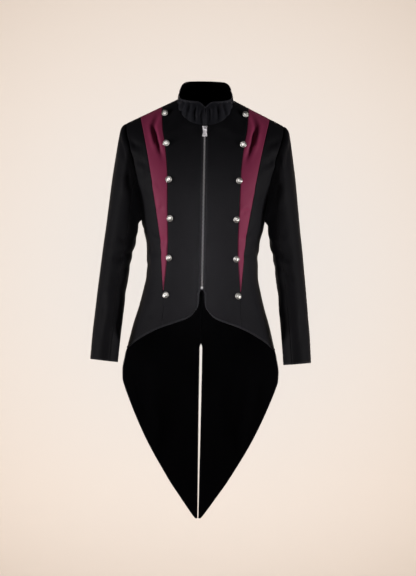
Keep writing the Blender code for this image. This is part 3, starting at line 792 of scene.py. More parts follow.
@dataclass(frozen=True)
class PanelCutter:
    """Cuts panels out of the body form between their seams."""

    form: BodyForm
    creases: CreaseMap
    settled_at: float = 0.5

    def level(self, inner: float, outer: float, z: float, shares: Array, back: bool) -> Array:
        """A row of (angle, height) at one height between two distances out.

        Args:
            inner: Distance out of its start.
            outer: Distance out of its end.
            z: The height.
            shares: Shares of the way across, one for each point.
            back: Whether it is on the back.

        Returns:
            The row.
        """
        start = self.form.angle_at(np.array(inner), np.array(z), back)
        end = self.form.angle_at(np.array(outer), np.array(z), back)
        return np.stack([start + (end - start) * shares, np.full(len(shares), z)], axis=-1)

    def line(self, x: Array, z: Array, back: bool) -> Array:
        """A row of (angle, height) through points given by distance out and height."""
        return np.stack([self.form.angle_at(x, z, back), z], axis=-1)

    def patch(
        self, upper: Array, lower: Array, inner_x: Callable, outer_x: Callable,
        down: Array, across: Array, back: bool,
    ) -> Array:
        """Rows between two given rows, pulled to the seams at both ends.

        Args:
            upper: The first row, as (angle, height).
            lower: The last row.
            inner_x: Distance out of the inner seam at a height.
            outer_x: Distance out of the outer seam at a height.
            down: Shares of the way down, one for each row, or one for each row and column.
            across: Shares of the way across, one for each column.
            back: Whether the patch is on the back.

        Returns:
            The rows of (angle, height).
        """
        down = np.broadcast_to(down if down.ndim == 2 else down[:, None], (len(down), len(across)))
        rows = upper[None] * (1 - down[..., None]) + lower[None] * down[..., None]
        first, last = rows[:, 0], rows[:, -1]
        inner_slip = self.form.angle_at(inner_x(first[:, 1]), first[:, 1], back) - first[:, 0]
        outer_slip = self.form.angle_at(outer_x(last[:, 1]), last[:, 1], back) - last[:, 0]
        rows[..., 0] += inner_slip[:, None] * (1 - across) + outer_slip[:, None] * across
        return rows

    def grid(self, rows: Array, side: Side) -> Grid:
        """Points and directions of a panel, with the creases of its side.

        Args:
            rows: The panel's rows of (angle, height).
            side: The wearer's side.

        Returns:
            The grid.
        """
        angle, z = rows[..., 0], rows[..., 1]
        points = self.form.point(angle, z)
        normals = self.form.normal(angle, z)
        settled = smooth(0, self.settled_at, self.form.opened(points[..., 0], z))
        relief = self.creases.relief(angle, z, side) * settled
        return Grid(points + normals * relief[..., None], normals)

    def side_x(self, z: Array) -> Array:
        """Distance out of the armhole, and below it of the side seam."""
        z = np.asarray(z, float)
        return np.where(z > self.form.underarm_z, self.form.armhole_x(z), self.form.section(z)[..., 0])


@dataclass
class Fronts:
    """The three front panels of each side: at the zip, the burgundy inset and the side front."""

    cutter: PanelCutter
    upper_rows: int = 64
    middle_rows: int = 56
    lower_rows: int = 24
    centre_columns: int = 26
    inset_columns: int = 16
    side_columns: int = 30
    edge_x: float = 3.4
    neck_share: float = 7 / 9
    close_rows: tuple[float, ...] = CLOSE_ROWS

    def zip_edge_x(self, height: Array) -> Array:
        """Distance out of the front edge beside the zip."""
        return np.full(np.shape(height), self.edge_x)

    def inset_tops(self) -> tuple[float, float]:
        """Distances out of the inset's two seams at the shoulder seam.

        Returns:
            The inner seam's and the outer seam's.
        """
        form = self.cutter.form
        inner = form.inset_inner_x(form.shoulder_z(np.array(INSET_INNER[0][1])))
        outer = form.inset_outer_x(form.shoulder_z(np.array(INSET_OUTER[0][1])))
        return float(inner), float(outer)

    def below(self, upper: Array, lower: Array, count: int) -> Array:
        """Shares down to a hem, with rows at fixed distances close above it.

        Args:
            upper: The row above, as (angle, height).
            lower: The hem's row.
            count: Rows before the close ones.

        Returns:
            A share for each row and column.
        """
        form = self.cutter.form
        ends = [form.point(row[:, 0], row[:, 1]) for row in (upper, lower)]
        length = np.linalg.norm(ends[0] - ends[1], axis=1)
        close = 1 - np.array(self.close_rows[::-1])[:, None] / length
        first = even(count)[:-1, None] * close[0]
        return np.concatenate([first, close])

    def rows(
        self, top: Array, inner_x: Callable, outer_x: Callable, across: Array,
        hem: Array | None = None, lower_inner: Callable | None = None, lower_outer: Callable | None = None,
    ) -> Array:
        """Rows of a front panel, from its top edge over the underarm and the inset's tip to the hem.

        Args:
            top: The top edge's row.
            inner_x: Distance out of the inner seam at a height.
            outer_x: Distance out of the outer seam at a height.
            across: Shares of the way across.
            hem: The hem's row, or none where the panel ends in a point.
            lower_inner: The inner seam below the inset's tip.
            lower_outer: The outer seam there.

        Returns:
            The rows of (angle, height).
        """
        form, cutter = self.cutter.form, self.cutter
        arm, tip = form.underarm_z, form.inset_tip_z
        underarm = cutter.level(inner_x(arm), outer_x(arm), arm, across, False)
        at_tip = cutter.level(inner_x(tip), outer_x(tip), tip, across, False)
        parts = [
            cutter.patch(top, underarm, inner_x, outer_x, arc(self.upper_rows), across, False),
            cutter.patch(underarm, at_tip, inner_x, outer_x, even(self.middle_rows), across, False)[1:],
        ]
        if hem is not None:
            down = self.below(at_tip, hem, self.lower_rows)
            parts.append(cutter.patch(at_tip, hem, lower_inner, lower_outer, down, across, False)[1:])
        return np.concatenate(parts)

    def centre_rows(self) -> Array:
        """Rows of the panel at the zip.

        Returns:
            The rows of (angle, height).
        """
        form, cutter = self.cutter.form, self.cutter
        across = np.unique(np.append(column_shares(self.centre_columns), self.neck_share))
        neck = form.neck_half * np.sin(math.pi / 2 * np.clip(across / self.neck_share, 0, 1))
        neck = np.maximum(neck, self.edge_x)
        seam_top = self.inset_tops()[0]
        beyond = np.clip((across - self.neck_share) / (1 - self.neck_share), 0, 1)
        x = np.where(across <= self.neck_share, neck, form.neck_half + (seam_top - form.neck_half) * beyond)
        z = np.where(
            across <= self.neck_share, form.neckline_z(x, form.neck_front_z), form.shoulder_z(x)
        )
        corner, seam = FRONT_HEM[0][0], float(form.princess_x(PRINCESS_SEAM[-1][0]))
        spaced = np.interp(across * (len(HEM_SPACING) - 1), np.arange(len(HEM_SPACING)), HEM_SPACING)
        hem_x = corner + (seam - corner) * spaced
        hem = cutter.line(hem_x, form.front_hem_z(hem_x), False)
        return self.rows(
            cutter.line(x, z, False), self.zip_edge_x, form.inset_inner_x, across, hem,
            form.front_part_x, form.princess_x,
        )

    def inset_rows(self) -> Array:
        """Rows of the inset, which ends in a point.

        Returns:
            The rows of (angle, height).
        """
        form = self.cutter.form
        across = column_shares(self.inset_columns)
        inner, outer = self.inset_tops()
        x = inner + (outer - inner) * across
        top = self.cutter.line(x, form.shoulder_z(x), False)
        return self.rows(top, form.inset_inner_x, form.inset_outer_x, across)

    def side_rows(self) -> Array:
        """Rows of the side front, out to the armhole and the side seam.

        Returns:
            The rows of (angle, height).
        """
        form, cutter = self.cutter.form, self.cutter
        across = column_shares(self.side_columns)
        inner = self.inset_tops()[1]
        x = inner + (form.shoulder_x - inner) * across
        seam = float(form.princess_x(PRINCESS_SEAM[-1][0]))
        outer = float(form.section(form.side_hem_z)[0])
        hem_x = seam + (outer - seam) * across
        hem = cutter.line(hem_x, form.front_hem_z(hem_x), False)
        return self.rows(
            cutter.line(x, form.shoulder_z(x), False), form.inset_outer_x, cutter.side_x, across, hem,
            form.princess_x, cutter.side_x,
        )

    def armhole(self) -> Array:
        """The armhole's front edge as (angle, height), from the shoulder to the underarm."""
        return self.side_rows()[:self.upper_rows + 1, -1]


@dataclass
class Backs:
    """The backs, each in one piece with its tail."""

    cutter: PanelCutter
    upper_rows: int = 64
    middle_rows: int = 52
    hip_rows: int = 30
    tail_rows: int = 100
    columns: int = 50
    neck_share: float = 7 / 12
    vent_half: float = 3.4
    vent_half_tip: float = 1.3
    vent_taper: float = 9.0
    tail_closeness: float = 1.1

    def centre_x(self, height: Array) -> Array:
        """Distance out of the centre back seam."""
        return np.zeros(np.shape(height))

    def rows(self) -> Array:
        """Rows of the back, from the neckline over underarm, waist and hip to the tail's tip.

        Returns:
            The rows of (angle, height).
        """
        form, cutter = self.cutter.form, self.cutter
        across = np.unique(np.append(column_shares(self.columns), self.neck_share))
        neck = form.neck_half * np.sin(math.pi / 2 * np.clip(across / self.neck_share, 0, 1))
        beyond = np.clip((across - self.neck_share) / (1 - self.neck_share), 0, 1)
        on_neck = across <= self.neck_share
        x = np.where(on_neck, neck, form.neck_half + (form.shoulder_x - form.neck_half) * beyond)
        z = np.where(on_neck, form.neckline_z(x, form.neck_back_z), form.shoulder_z(x))
        arm, tip = form.underarm_z, form.inset_tip_z
        underarm = cutter.level(0, cutter.side_x(arm), arm, across, True)
        waist = cutter.level(0, cutter.side_x(tip), tip, across, True)
        hip_z = form.vent_top_z + (form.side_hem_z - form.vent_top_z) * across
        hip = np.stack([180 - 90 * across, hip_z], axis=-1)
        tail = cutter.level(
            self.vent_half_tip, form.tail_edge_x(form.tail_tip_z), form.tail_tip_z, across, True
        )
        vent_x = Profile([
            (form.vent_top_z, 0),
            (form.vent_top_z - self.vent_taper, self.vent_half),
            (form.tail_tip_z, self.vent_half_tip),
        ])
        centre = self.centre_x
        tail_shares = 1 - (1 - even(self.tail_rows)) ** self.tail_closeness
        parts = [
            cutter.patch(
                cutter.line(x, z, True), underarm, centre, cutter.side_x, arc(self.upper_rows), across, True
            ),
            cutter.patch(underarm, waist, centre, cutter.side_x, even(self.middle_rows), across, True)[1:],
            cutter.patch(waist, hip, centre, cutter.side_x, even(self.hip_rows), across, True)[1:],
            cutter.patch(hip, tail, vent_x, form.tail_edge_x, tail_shares, across, True)[1:],
        ]
        return np.concatenate(parts)

    def armhole(self) -> Array:
        """The armhole's back edge as (angle, height), from the shoulder to the underarm."""
        return self.rows()[:self.upper_rows + 1, -1]


@dataclass
class Sleeves:
    """The two-piece sleeves, from the armhole's ring to the cuff."""

    creases: CreaseMap
    elbow_folds: Rows
    side_x: Callable[[Array], Array]
    seam: float = -0.5
    press: float = 4.5
    resting: tuple[float, float, float, float] = (-338.0, -318.0, -190.0, -150.0)
    rest_full: float = 0.05
    rest_share: float = 0.4
    settle: float = 30.0
    front_seam: float = 112.5
    back_seam: float = 247.5
    row_length: float = 4.5
    cuff_rows: tuple[float, ...] = CLOSE_ROWS
    seam_columns: tuple[float, ...] = (0, 0.15, 0.35, 0.65)

    def rings(self, armhole: Array) -> Array:
        """The tube's rings.

        Args:
            armhole: Points round the armhole, from the shoulder over the front, closed.

        Returns:
            Points in rows along the sleeve and columns round it.
        """
        ring = armhole + np.array([self.seam, 0, 0])
        count = len(ring)
        angle = 2 * math.pi * np.arange(count) / count
        top, end = ring[0], ring[count // 2]
        half = np.linalg.norm(top - end) / 2
        up = (top - end) / (2 * half)
        out = np.array([up[2], 0, -up[0]])
        away = ring - (top + end) / 2
        shape = np.stack([away @ up / half, away[:, 1], away @ out], axis=-1)
        first = (0, top[0], top[2], end[0], end[2], SLEEVE_RINGS[0][5], 5, 1)
        table = Profile((first,) + tuple(SLEEVE_RINGS))
        coarse = table(np.arange(len(SLEEVE_RINGS) + 1))
        middles = (coarse[:, 0:2] + coarse[:, 2:4]) / 2
        length = np.concatenate([[0], np.cumsum(np.linalg.norm(np.diff(middles, axis=0), axis=1))])
        close = length[-1] - np.array(self.cuff_rows[::-1])
        first_rows = np.linspace(0, close[0], int(close[0] / self.row_length))[:-1]
        key = np.interp(np.concatenate([first_rows, close]), length, np.arange(len(length)))
        outer_x, outer_z, inner_x, inner_z, depth, middle_y, share = table(key).T[:, :, None]
        half = np.hypot(outer_x - inner_x, outer_z - inner_z) / 2
        up_x, up_z = (outer_x - inner_x) / (2 * half), (outer_z - inner_z) / (2 * half)
        high = ((1 - share) * np.cos(angle) + share * shape[:, 0]) * half
        deep = -(1 - share) * depth * np.sin(angle) + share * shape[:, 1]
        wide = share * shape[:, 2]
        x = (outer_x + inner_x) / 2 + high * up_x + wide * up_z
        z = (outer_z + inner_z) / 2 + high * up_z - wide * up_x
        return np.stack([x, middle_y + deep, z], axis=-1)

    def normals(self, tube: Array) -> Array:
        """Outward directions of a closed tube.

        Args:
            tube: The tube's points.

        Returns:
            Unit directions.
        """
        round_tube = np.roll(tube, -1, axis=1) - np.roll(tube, 1, axis=1)
        normals = np.cross(np.gradient(tube, axis=0), round_tube)
        normals /= np.linalg.norm(normals, axis=2, keepdims=True)
        away = tube - tube.mean(axis=1, keepdims=True)
        return normals * np.sign((away * normals).sum(axis=(1, 2), keepdims=True))

    def relief(self, tube: Array, side: Side) -> Array:
        """Folds at the inside of the elbow, and the sleeve's own creases.

        Args:
            tube: The tube's points.
            side: The wearer's side.

        Returns:
            The relief of every point, in mm.
        """
        degrees = np.broadcast_to(np.arange(tube.shape[1]) * 360 / tube.shape[1], tube.shape[:2])
        inside = (1 - np.cos(np.radians(degrees))) / 2
        total = np.zeros(tube.shape[:2])
        for fold_z, depth, width, lean in self.elbow_folds:
            centre = fold_z + lean * (tube[..., 1] - tube[..., 1].mean(axis=1, keepdims=True))
            total -= depth * inside * np.exp(-(((tube[..., 2] - centre) / width) ** 2))
        total += self.creases.relief(degrees, tube[..., 2], side)
        total += self.creases.relief(degrees - 360, tube[..., 2], side)
        return total

    def rested(self, tube: Array) -> Array:
        """Lays the inside of the sleeve on the coat's side, over the heights of `resting`.

        Args:
            tube: The tube's points.

        Returns:
            The points, those at the inside moved towards the coat.
        """
        low, lowest_full, highest_full, high = self.resting
        middle = tube.shape[1] // 2
        z = tube[:, middle, 2]
        rests = smooth(low, lowest_full, z) * (1 - smooth(highest_full, high, z))
        gap = np.maximum(tube[..., 0].min(axis=1) - self.side_x(z) + self.press, 0) * rests
        away = np.abs(np.arange(tube.shape[1]) / middle - 1)
        moved = tube.copy()
        moved[..., 0] -= gap[:, None] * (1 - smooth(self.rest_full, self.rest_share, away))
        return moved

    def grids(self, armhole: Array, side: Side) -> tuple[Grid, Grid]:
        """The grids of the top sleeve and the under sleeve.

        Args:
            armhole: Points round the armhole.
            side: The wearer's side.

        Returns:
            The two grids.
        """
        tube = self.rings(armhole)
        normals = self.normals(tube)
        fade = smooth(0, self.settle, np.linalg.norm(tube - tube[:1], axis=2))
        tube = self.rested(tube + normals * (self.relief(tube, side) * fade)[..., None])
        count = tube.shape[1]
        front, back = (round(seam / 360 * count) for seam in (self.front_seam, self.back_seam))
        top_columns = np.arange(back, count + front + 1) % count
        under_columns = np.arange(front, back + 1)
        return tuple(
            Grid(*self.refine(tube[:, columns], normals[:, columns]))
            for columns in (top_columns, under_columns)
        )

    def refine(self, points: Array, normals: Array) -> tuple[Array, Array]:
        """Adds close columns beside a sleeve piece's long seams.

        Args:
            points: The piece's points.
            normals: Its outward directions.

        Returns:
            Both, with the added columns.
        """
        last = points.shape[1] - 1
        close = np.array(self.seam_columns)
        spots = np.concatenate([close, np.arange(1, last), last - close[::-1]])
        low = np.clip(np.floor(spots).astype(int), 0, last - 1)
        share = (spots - low)[None, :, None]
        refined = [grid[:, low] * (1 - share) + grid[:, low + 1] * share for grid in (points, normals)]
        return refined[0], refined[1]


@dataclass
class Collar:
    """The stand collar: one wall round the neck, open at the front, with rounded ends."""

    form: BodyForm
    creases: CreaseMap
    gap: float = 0.8
    half: float = 69.5
    depth: float = 63.0
    neck_depth: float = 70.0
    corner_drop: float = 16.0
    corner_width: float = 24.0
    bow: float = 1.6
    seam: float = -1.8
    steps: int = 60
    rows: int = 16
    own_form_from: tuple[float, float] = (8.0, 32.0)
    top_z: Profile = profile(COLLAR_TOP)

    def half_seam(self) -> Array:
        """The neck seam's points on one side, from the front end to the centre back.

        Returns:
            The points.
        """
        start = math.asin(self.gap / self.form.neck_half)
        turn = start + (math.pi / 2 - start) * even(self.steps)
        x = self.form.neck_half * np.sin(turn)
        parts = []
        for back, middle in ((False, self.form.neck_front_z), (True, self.form.neck_back_z)):
            z = self.form.neckline_z(x, middle)
            parts.append(self.form.point(self.form.angle_at(x, z, back), z))
        behind = parts[1][-2::-1]
        behind[-1, 0] = 0
        return np.concatenate([parts[0], behind])

    def grid(self) -> Grid:
        """The collar's grid, from the left front end round the back to the right one.

        Returns:
            The grid, whose rows go from the neck seam up.
        """
        seam = self.half_seam()
        behind_middle = seam[:, 1] - self.form.middle_y
        turn = np.arctan2(seam[:, 0] / self.form.neck_half, -behind_middle / self.neck_depth)
        power = 2 / self.form.squareness
        own = smooth(*self.own_form_from, seam[:, 0])
        own = np.where(turn > math.pi / 2, 1, own)
        x = self.half * np.sin(turn) ** power * own + seam[:, 0] * (1 - own)
        y = -np.copysign(np.abs(np.cos(turn)) ** power, np.cos(turn)) * self.depth
        drop = self.corner_drop * np.maximum(1 - seam[:, 0] / self.corner_width, 0) ** 2
        z = self.top_z(y) - np.where(turn < math.pi / 2, drop, 0)
        top = np.stack([x, y, z], axis=-1)
        rise = (top - seam) / np.linalg.norm(top - seam, axis=1, keepdims=True)
        low = seam + self.seam * rise
        mirror = np.array([-1, 1, 1])
        low = np.concatenate([low, low[-2::-1] * mirror])
        top = np.concatenate([top, top[-2::-1] * mirror])
        turn = np.degrees(np.concatenate([turn, turn[-2::-1]]))
        shares = column_shares(self.rows)
        points = low[None] * (1 - shares[:, None, None]) + top[None] * shares[:, None, None]
        normals = self.outward(points)
        bow = self.bow * np.sin(math.pi * shares)[:, None]
        count = len(seam)
        degrees = np.broadcast_to(turn, points.shape[:2])
        relief = np.concatenate([
            self.creases.relief(degrees[:, :count], points[:, :count, 2], Side.LEFT),
            self.creases.relief(degrees[:, count:], points[:, count:, 2], Side.RIGHT),
        ], axis=1)
        points = points + normals * (relief + bow)[..., None]
        return Grid(points, self.outward(points))

    def outward(self, points: Array) -> Array:
        """Outward directions of the collar's wall.

        Args:
            points: The wall's points in rows and columns.

        Returns:
            Unit directions.
        """
        normals = np.cross(np.gradient(points, axis=1), np.gradient(points, axis=0))
        normals /= np.maximum(np.linalg.norm(normals, axis=2, keepdims=True), 1e-9)
        away = points - np.array([0, self.form.middle_y, 0])
        away[..., 2] = 0
        return normals * np.sign((away * normals).sum())


# Finishes

Colour = tuple[float, float, float]


class Weave(Enum):
    """The weaves of the coat's cloths."""

    TWILL = "Twill Weave"
    SATIN = "Satin Weave"
    HERRINGBONE = "Herringbone Weave"


class NodeKit:
    """Adds nodes and links to a material's or a group's tree."""

    def __init__(self, tree: bpy.types.NodeTree) -> None:
        """Keeps the tree that is worked on."""
        self.tree = tree

    def add(self, kind: str, **inputs: object) -> bpy.types.Node:
        """Adds a node.

        Args:
            kind: The node's type.
            inputs: Values or sockets for its inputs, by name with underscores for spaces.

        Returns:
            The node.
        """
        node = self.tree.nodes.new(kind)
        for name, value in inputs.items():
            self.feed(node.inputs[name.replace("_", " ")], value)
        return node

    def feed(self, socket: bpy.types.NodeSocket, value: object) -> None:
        """Links a socket into an input, or sets the input to a plain value.

        Args:
            socket: The input.
            value: A socket or a plain value.
        """
        if isinstance(value, bpy.types.NodeSocket):
            self.tree.links.new(value, socket)
        else:
            socket.default_value = value

    def math(self, operation: str, first: object, second: object = 0.0) -> bpy.types.NodeSocket:
        """Adds a Math node and returns its result.

        Args:
            operation: The node's operation.
            first: Its first value or socket.
            second: Its second.

        Returns:
            The result's socket.
        """
        node = self.tree.nodes.new("ShaderNodeMath")
        node.operation = operation
        self.feed(node.inputs[0], first)
        self.feed(node.inputs[1], second)
        return node.outputs[0]

    def mix(self, factor: object, first: object, second: object) -> bpy.types.NodeSocket:
        """Mixes two colours and returns the result.

        Args:
            factor: Share of the second.
            first: The first colour.
            second: The second colour.

        Returns:
            The colour's socket.
        """
        node = self.tree.nodes.new("ShaderNodeMix")
        node.data_type = "RGBA"
        self.feed(node.inputs[0], factor)
        self.feed(node.inputs[6], first)
        self.feed(node.inputs[7], second)
        return node.outputs[2]

    def group(self, tree: bpy.types.NodeTree, inputs: dict[str, object]) -> dict[str, bpy.types.NodeSocket]:
        """Adds a node group.

        Args:
            tree: The group's tree.
            inputs: Values or sockets for its inputs, by name.

        Returns:
            Its outputs by name.
        """
        node = self.tree.nodes.new("ShaderNodeGroup")
        node.node_tree = tree
        for name, value in inputs.items():
            self.feed(node.inputs[name], value)
        return {output.name: output for output in node.outputs}

    def attribute(self, name: str) -> bpy.types.NodeSocket:
        """Reads one of the mesh's own attributes.

        Args:
            name: The attribute.

        Returns:
            Its value's socket.
        """
        node = self.tree.nodes.new("ShaderNodeAttribute")
        node.attribute_name = name
        return node.outputs["Fac"]

    def dress(
        self, shader: bpy.types.Node, height: object, strength: float, depth: float, **inputs: object,
    ) -> None:
        """Gives a shader its bump and its other inputs.

        Args:
            shader: The shader.
            height: The bump's height.
            strength: The bump's strength.
            depth: The bump's depth, in mm.
            inputs: Values or sockets for the other inputs, by name with underscores for spaces.
        """
        bump = self.add("ShaderNodeBump", Height=height, Strength=strength, Distance=depth * MM)
        for name, value in {"Normal": bump.outputs["Normal"], **inputs}.items():
            self.feed(shader.inputs[name.replace("_", " ")], value)

    def noise(self, vector: object, scale: float, detail: float = 3.0) -> bpy.types.NodeSocket:
        """Adds noise, at so many waves a metre, and returns its factor."""
        return self.add("ShaderNodeTexNoise", Vector=vector, Scale=scale, Detail=detail).outputs["Fac"]

    def span(self, value: object, low: float, high: float, start: float, end: float) -> bpy.types.NodeSocket:
        """Maps a value from one span to another, and returns the result.

        Args:
            value: The value's socket.
            low: Where its span starts.
            high: Where it ends.
            start: What the start becomes.
            end: What the end becomes.

        Returns:
            The result's socket.
        """
        node = self.add(
            "ShaderNodeMapRange", Value=value, From_Min=low, From_Max=high, To_Min=start, To_Max=end
        )
        return node.outputs["Result"]


class ShaderGroups:
    """The effects that more than one material uses, each built once as a node group.

    The waves are those of the noises, in a metre.
    """

    drift_waves = 400.0
    drift = 0.0006
    herringbone = 0.003
    broad_waves = 14.0
    fine_waves = 900.0
    # The lighter band along hemmed edges, rubbed wear and a painted highlight of the rolled edge: the waves
    # of its patches, and the distances in mm over which it fades.
    rubbed_waves = 120.0
    rubbed_band = (3.5, 6.0)
    cloud_waves = 260.0
    clean_from = 0.2
    clean_to = 0.75
    scratch_waves = 3200.0
    rougher = 0.3

    def __init__(self) -> None:
        """Builds the groups."""
        self.weaves = {weave: self.weave(weave) for weave in Weave}
        self.tone = self.cloth_tone()
        self.metal = self.worn_metal()

    def start(self, name: str, inputs: dict[str, str], outputs: dict[str, str]) -> tuple[NodeKit, dict, dict]:
        """Starts a group.

        Args:
            name: The group's name.
            inputs: Names of its inputs, with their socket types.
            outputs: Names of its outputs, with their socket types.
        """
        tree = bpy.data.node_groups.new(name, "ShaderNodeTree")
        for words, way in ((inputs, "INPUT"), (outputs, "OUTPUT")):
            for word, kind in words.items():
                tree.interface.new_socket(name=word, in_out=way, socket_type=kind)
        source = tree.nodes.new("NodeGroupInput").outputs
        target = tree.nodes.new("NodeGroupOutput").inputs
        kit = NodeKit(tree)
        return kit, {word: source[word] for word in inputs}, {word: target[word] for word in outputs}

    def weave(self, weave: Weave) -> bpy.types.NodeTree:
        """A weave's height from the flat cut's coordinates.

        Args:
            weave: Which weave.

        Returns:
            The group, with inputs Place and Threads and the output Height.
        """
        kit, given, result = self.start(
            weave.value,
            {"Place": "NodeSocketVector", "Threads": "NodeSocketFloat"},
            {"Height": "NodeSocketFloat"},
        )
        parts = kit.add("ShaderNodeSeparateXYZ", Vector=given["Place"]).outputs
        drift = kit.math("MULTIPLY", kit.noise(given["Place"], self.drift_waves), self.drift)
        turns = kit.math("MULTIPLY", given["Threads"], 2 * math.pi)
        across = kit.math("MULTIPLY", kit.math("ADD", parts["X"], drift), turns)
        down = kit.math("MULTIPLY", kit.math("ADD", parts["Y"], drift), turns)
        if weave is Weave.TWILL:
            rib = kit.math("SINE", kit.math("ADD", across, down))
            thread = kit.math("SINE", kit.math("MULTIPLY", kit.math("SUBTRACT", across, down), 2.0))
            height = kit.math("ADD", kit.math("MULTIPLY", rib, 0.35), kit.math("MULTIPLY", thread, 0.15))
        elif weave is Weave.SATIN:
            floats = kit.math("SINE", across)
            ties = kit.math("SINE", kit.math("ADD", kit.math("MULTIPLY", across, 0.4), down))
            height = kit.math("ADD", kit.math("MULTIPLY", floats, 0.32), kit.math("MULTIPLY", ties, 0.12))
        else:
            fold = kit.math("PINGPONG", parts["X"], self.herringbone)
            slant = kit.math("ADD", kit.math("MULTIPLY", fold, turns), down)
            height = kit.math("MULTIPLY", kit.math("SINE", slant), 0.45)
        kit.feed(result["Height"], kit.math("ADD", height, 0.5))
        return kit.tree

    def cloth_tone(self) -> bpy.types.NodeTree:
        """Colour and roughness of cloth, uneven over its length, and lighter near its hemmed edges: rubbed
        wear together with a painted highlight of the rolled edge.

        Returns:
            The group, with inputs Place, Colour, Rubbed Colour, Roughness, Unevenness and Near Edge, and
            the outputs Colour, Roughness and Height.
        """
        kit, given, result = self.start(
            "Cloth Tone",
            {
                "Place": "NodeSocketVector", "Colour": "NodeSocketColor",
                "Rubbed Colour": "NodeSocketColor", "Roughness": "NodeSocketFloat",
                "Unevenness": "NodeSocketFloat", "Near Edge": "NodeSocketFloat",
            },
            {"Colour": "NodeSocketColor", "Roughness": "NodeSocketFloat", "Height": "NodeSocketFloat"},
        )
        broad = kit.noise(given["Place"], self.broad_waves)
        fine = kit.noise(given["Place"], self.fine_waves, 2.0)
        mottled = kit.math("ADD", kit.math("MULTIPLY", broad, 0.6), kit.math("MULTIPLY", fine, 0.4))
        swing = kit.math("MULTIPLY", kit.math("SUBTRACT", mottled, 0.5), given["Unevenness"])
        # Lighter within a few mm of hemmed edges, in patches: rubbed wear and a painted highlight of the
        # rolled edge.
        edge = kit.span(given["Near Edge"], *self.rubbed_band, 0.9, 0.0)
        patchy = kit.span(kit.noise(given["Place"], self.rubbed_waves), 0.35, 0.65, 0.5, 1.0)
        rubbed = kit.math("MULTIPLY", edge, patchy)
        lift = kit.math("MAXIMUM", kit.math("ADD", rubbed, swing), 0.0)
        kit.feed(result["Colour"], kit.mix(lift, given["Colour"], given["Rubbed Colour"]))
        rougher = kit.math("MULTIPLY", swing, self.rougher)
        kit.feed(result["Roughness"], kit.math("ADD", given["Roughness"], rougher))
        kit.feed(result["Height"], broad)
        return kit.tree

    def worn_metal(self) -> bpy.types.NodeTree:
        """Colour, roughness and fine scratches of a handled metal, dark where its relief is low.

        Returns:
            The group, with inputs Place, Bright, Dark, Roughness and Relief, and the outputs Colour,
            Roughness and Height.
        """
        kit, given, result = self.start(
            "Worn Metal",
            {
                "Place": "NodeSocketVector", "Bright": "NodeSocketColor", "Dark": "NodeSocketColor",
                "Roughness": "NodeSocketFloat", "Relief": "NodeSocketFloat",
            },
            {"Colour": "NodeSocketColor", "Roughness": "NodeSocketFloat", "Height": "NodeSocketFloat"},
        )
        cloudy = kit.noise(given["Place"], self.cloud_waves)
        clouds = kit.math("MULTIPLY", kit.math("SUBTRACT", cloudy, 0.5), 0.5)
        patina = kit.math("ADD", given["Relief"], clouds)
        clean = kit.span(patina, self.clean_from, self.clean_to, 0.0, 1.0)
        kit.feed(result["Colour"], kit.mix(clean, given["Dark"], given["Bright"]))
        dull = kit.math("MULTIPLY", kit.math("SUBTRACT", 1.0, clean), self.rougher)
        kit.feed(result["Roughness"], kit.math("ADD", given["Roughness"], dull))
        kit.feed(result["Height"], kit.noise(given["Place"], self.scratch_waves, 2.0))
        return kit.tree


def new_material(name: str) -> tuple[bpy.types.Material, NodeKit, bpy.types.Node]:
    """A new material with its kit and its Principled shader.

    Args:
        name: The material's name.
    """
    made = bpy.data.materials.new(name)
    made.use_nodes = True
    return made, NodeKit(made.node_tree), made.node_tree.nodes["Principled BSDF"]


@dataclass(frozen=True)
class ClothFinish:
    """How one of the cloths looks."""

    name: str
    colour: Colour
    # The colour near hemmed edges: rubbed wear and a painted highlight of the rolled edge.
    rubbed: Colour
    roughness: float
    weave: Weave
    threads_per_mm: float
    bump: float
    unevenness: float = 0.5
    sheen: float = 0.0
    sheen_colour: Colour = (1.0, 1.0, 1.0)
    sheen_roughness: float = 0.5
    shine: float = 0.5
    softness: float = 2.0
    bump_strength: float = 0.8

    def material(self, groups: ShaderGroups) -> bpy.types.Material:
        """Makes the material.

        Args:
            groups: The shared effects.

        Returns:
            The material, which reads the flat cut's coordinates and the distance from the edges.
        """
        made, kit, shader = new_material(self.name)
        flat = kit.tree.nodes.new("ShaderNodeUVMap")
        flat.uv_map = "cut"
        tone = kit.group(groups.tone, {
            "Place": flat.outputs["UV"], "Colour": (*self.colour, 1), "Rubbed Colour": (*self.rubbed, 1),
            "Roughness": self.roughness, "Unevenness": self.unevenness,
            "Near Edge": kit.attribute("near_edge"),
        })
        threads = {"Place": flat.outputs["UV"], "Threads": self.threads_per_mm / MM}
        weave = kit.group(groups.weaves[self.weave], threads)
        height = kit.math("ADD", weave["Height"], kit.math("MULTIPLY", tone["Height"], self.softness))
        kit.dress(
            shader, height, self.bump_strength, self.bump,
            Base_Color=tone["Colour"], Roughness=tone["Roughness"], Specular_IOR_Level=self.shine,
            Sheen_Weight=self.sheen, Sheen_Tint=(*self.sheen_colour, 1), Sheen_Roughness=self.sheen_roughness,
        )
        return made


@dataclass(frozen=True)
class MetalFinish:
    """How one of the metals looks."""

    name: str
    bright: Colour
    dark: Colour
    roughness: float
    scratch: float = 0.004
    bump_strength: float = 0.5

    def material(self, groups: ShaderGroups) -> bpy.types.Material:
        """Makes the material.

        Args:
            groups: The shared effects.

        Returns:
            The material, which reads how high the relief stands from the mesh.
        """
        made, kit, shader = new_material(self.name)
        spots = kit.tree.nodes.new("ShaderNodeTexCoord")
        worn = kit.group(groups.metal, {
            "Place": spots.outputs["Object"], "Bright": (*self.bright, 1), "Dark": (*self.dark, 1),
            "Roughness": self.roughness, "Relief": kit.attribute("relief"),
        })
        kit.dress(
            shader, worn["Height"], self.bump_strength, self.scratch,
            Base_Color=worn["Colour"], Roughness=worn["Roughness"], Metallic=1.0,
        )
        return made


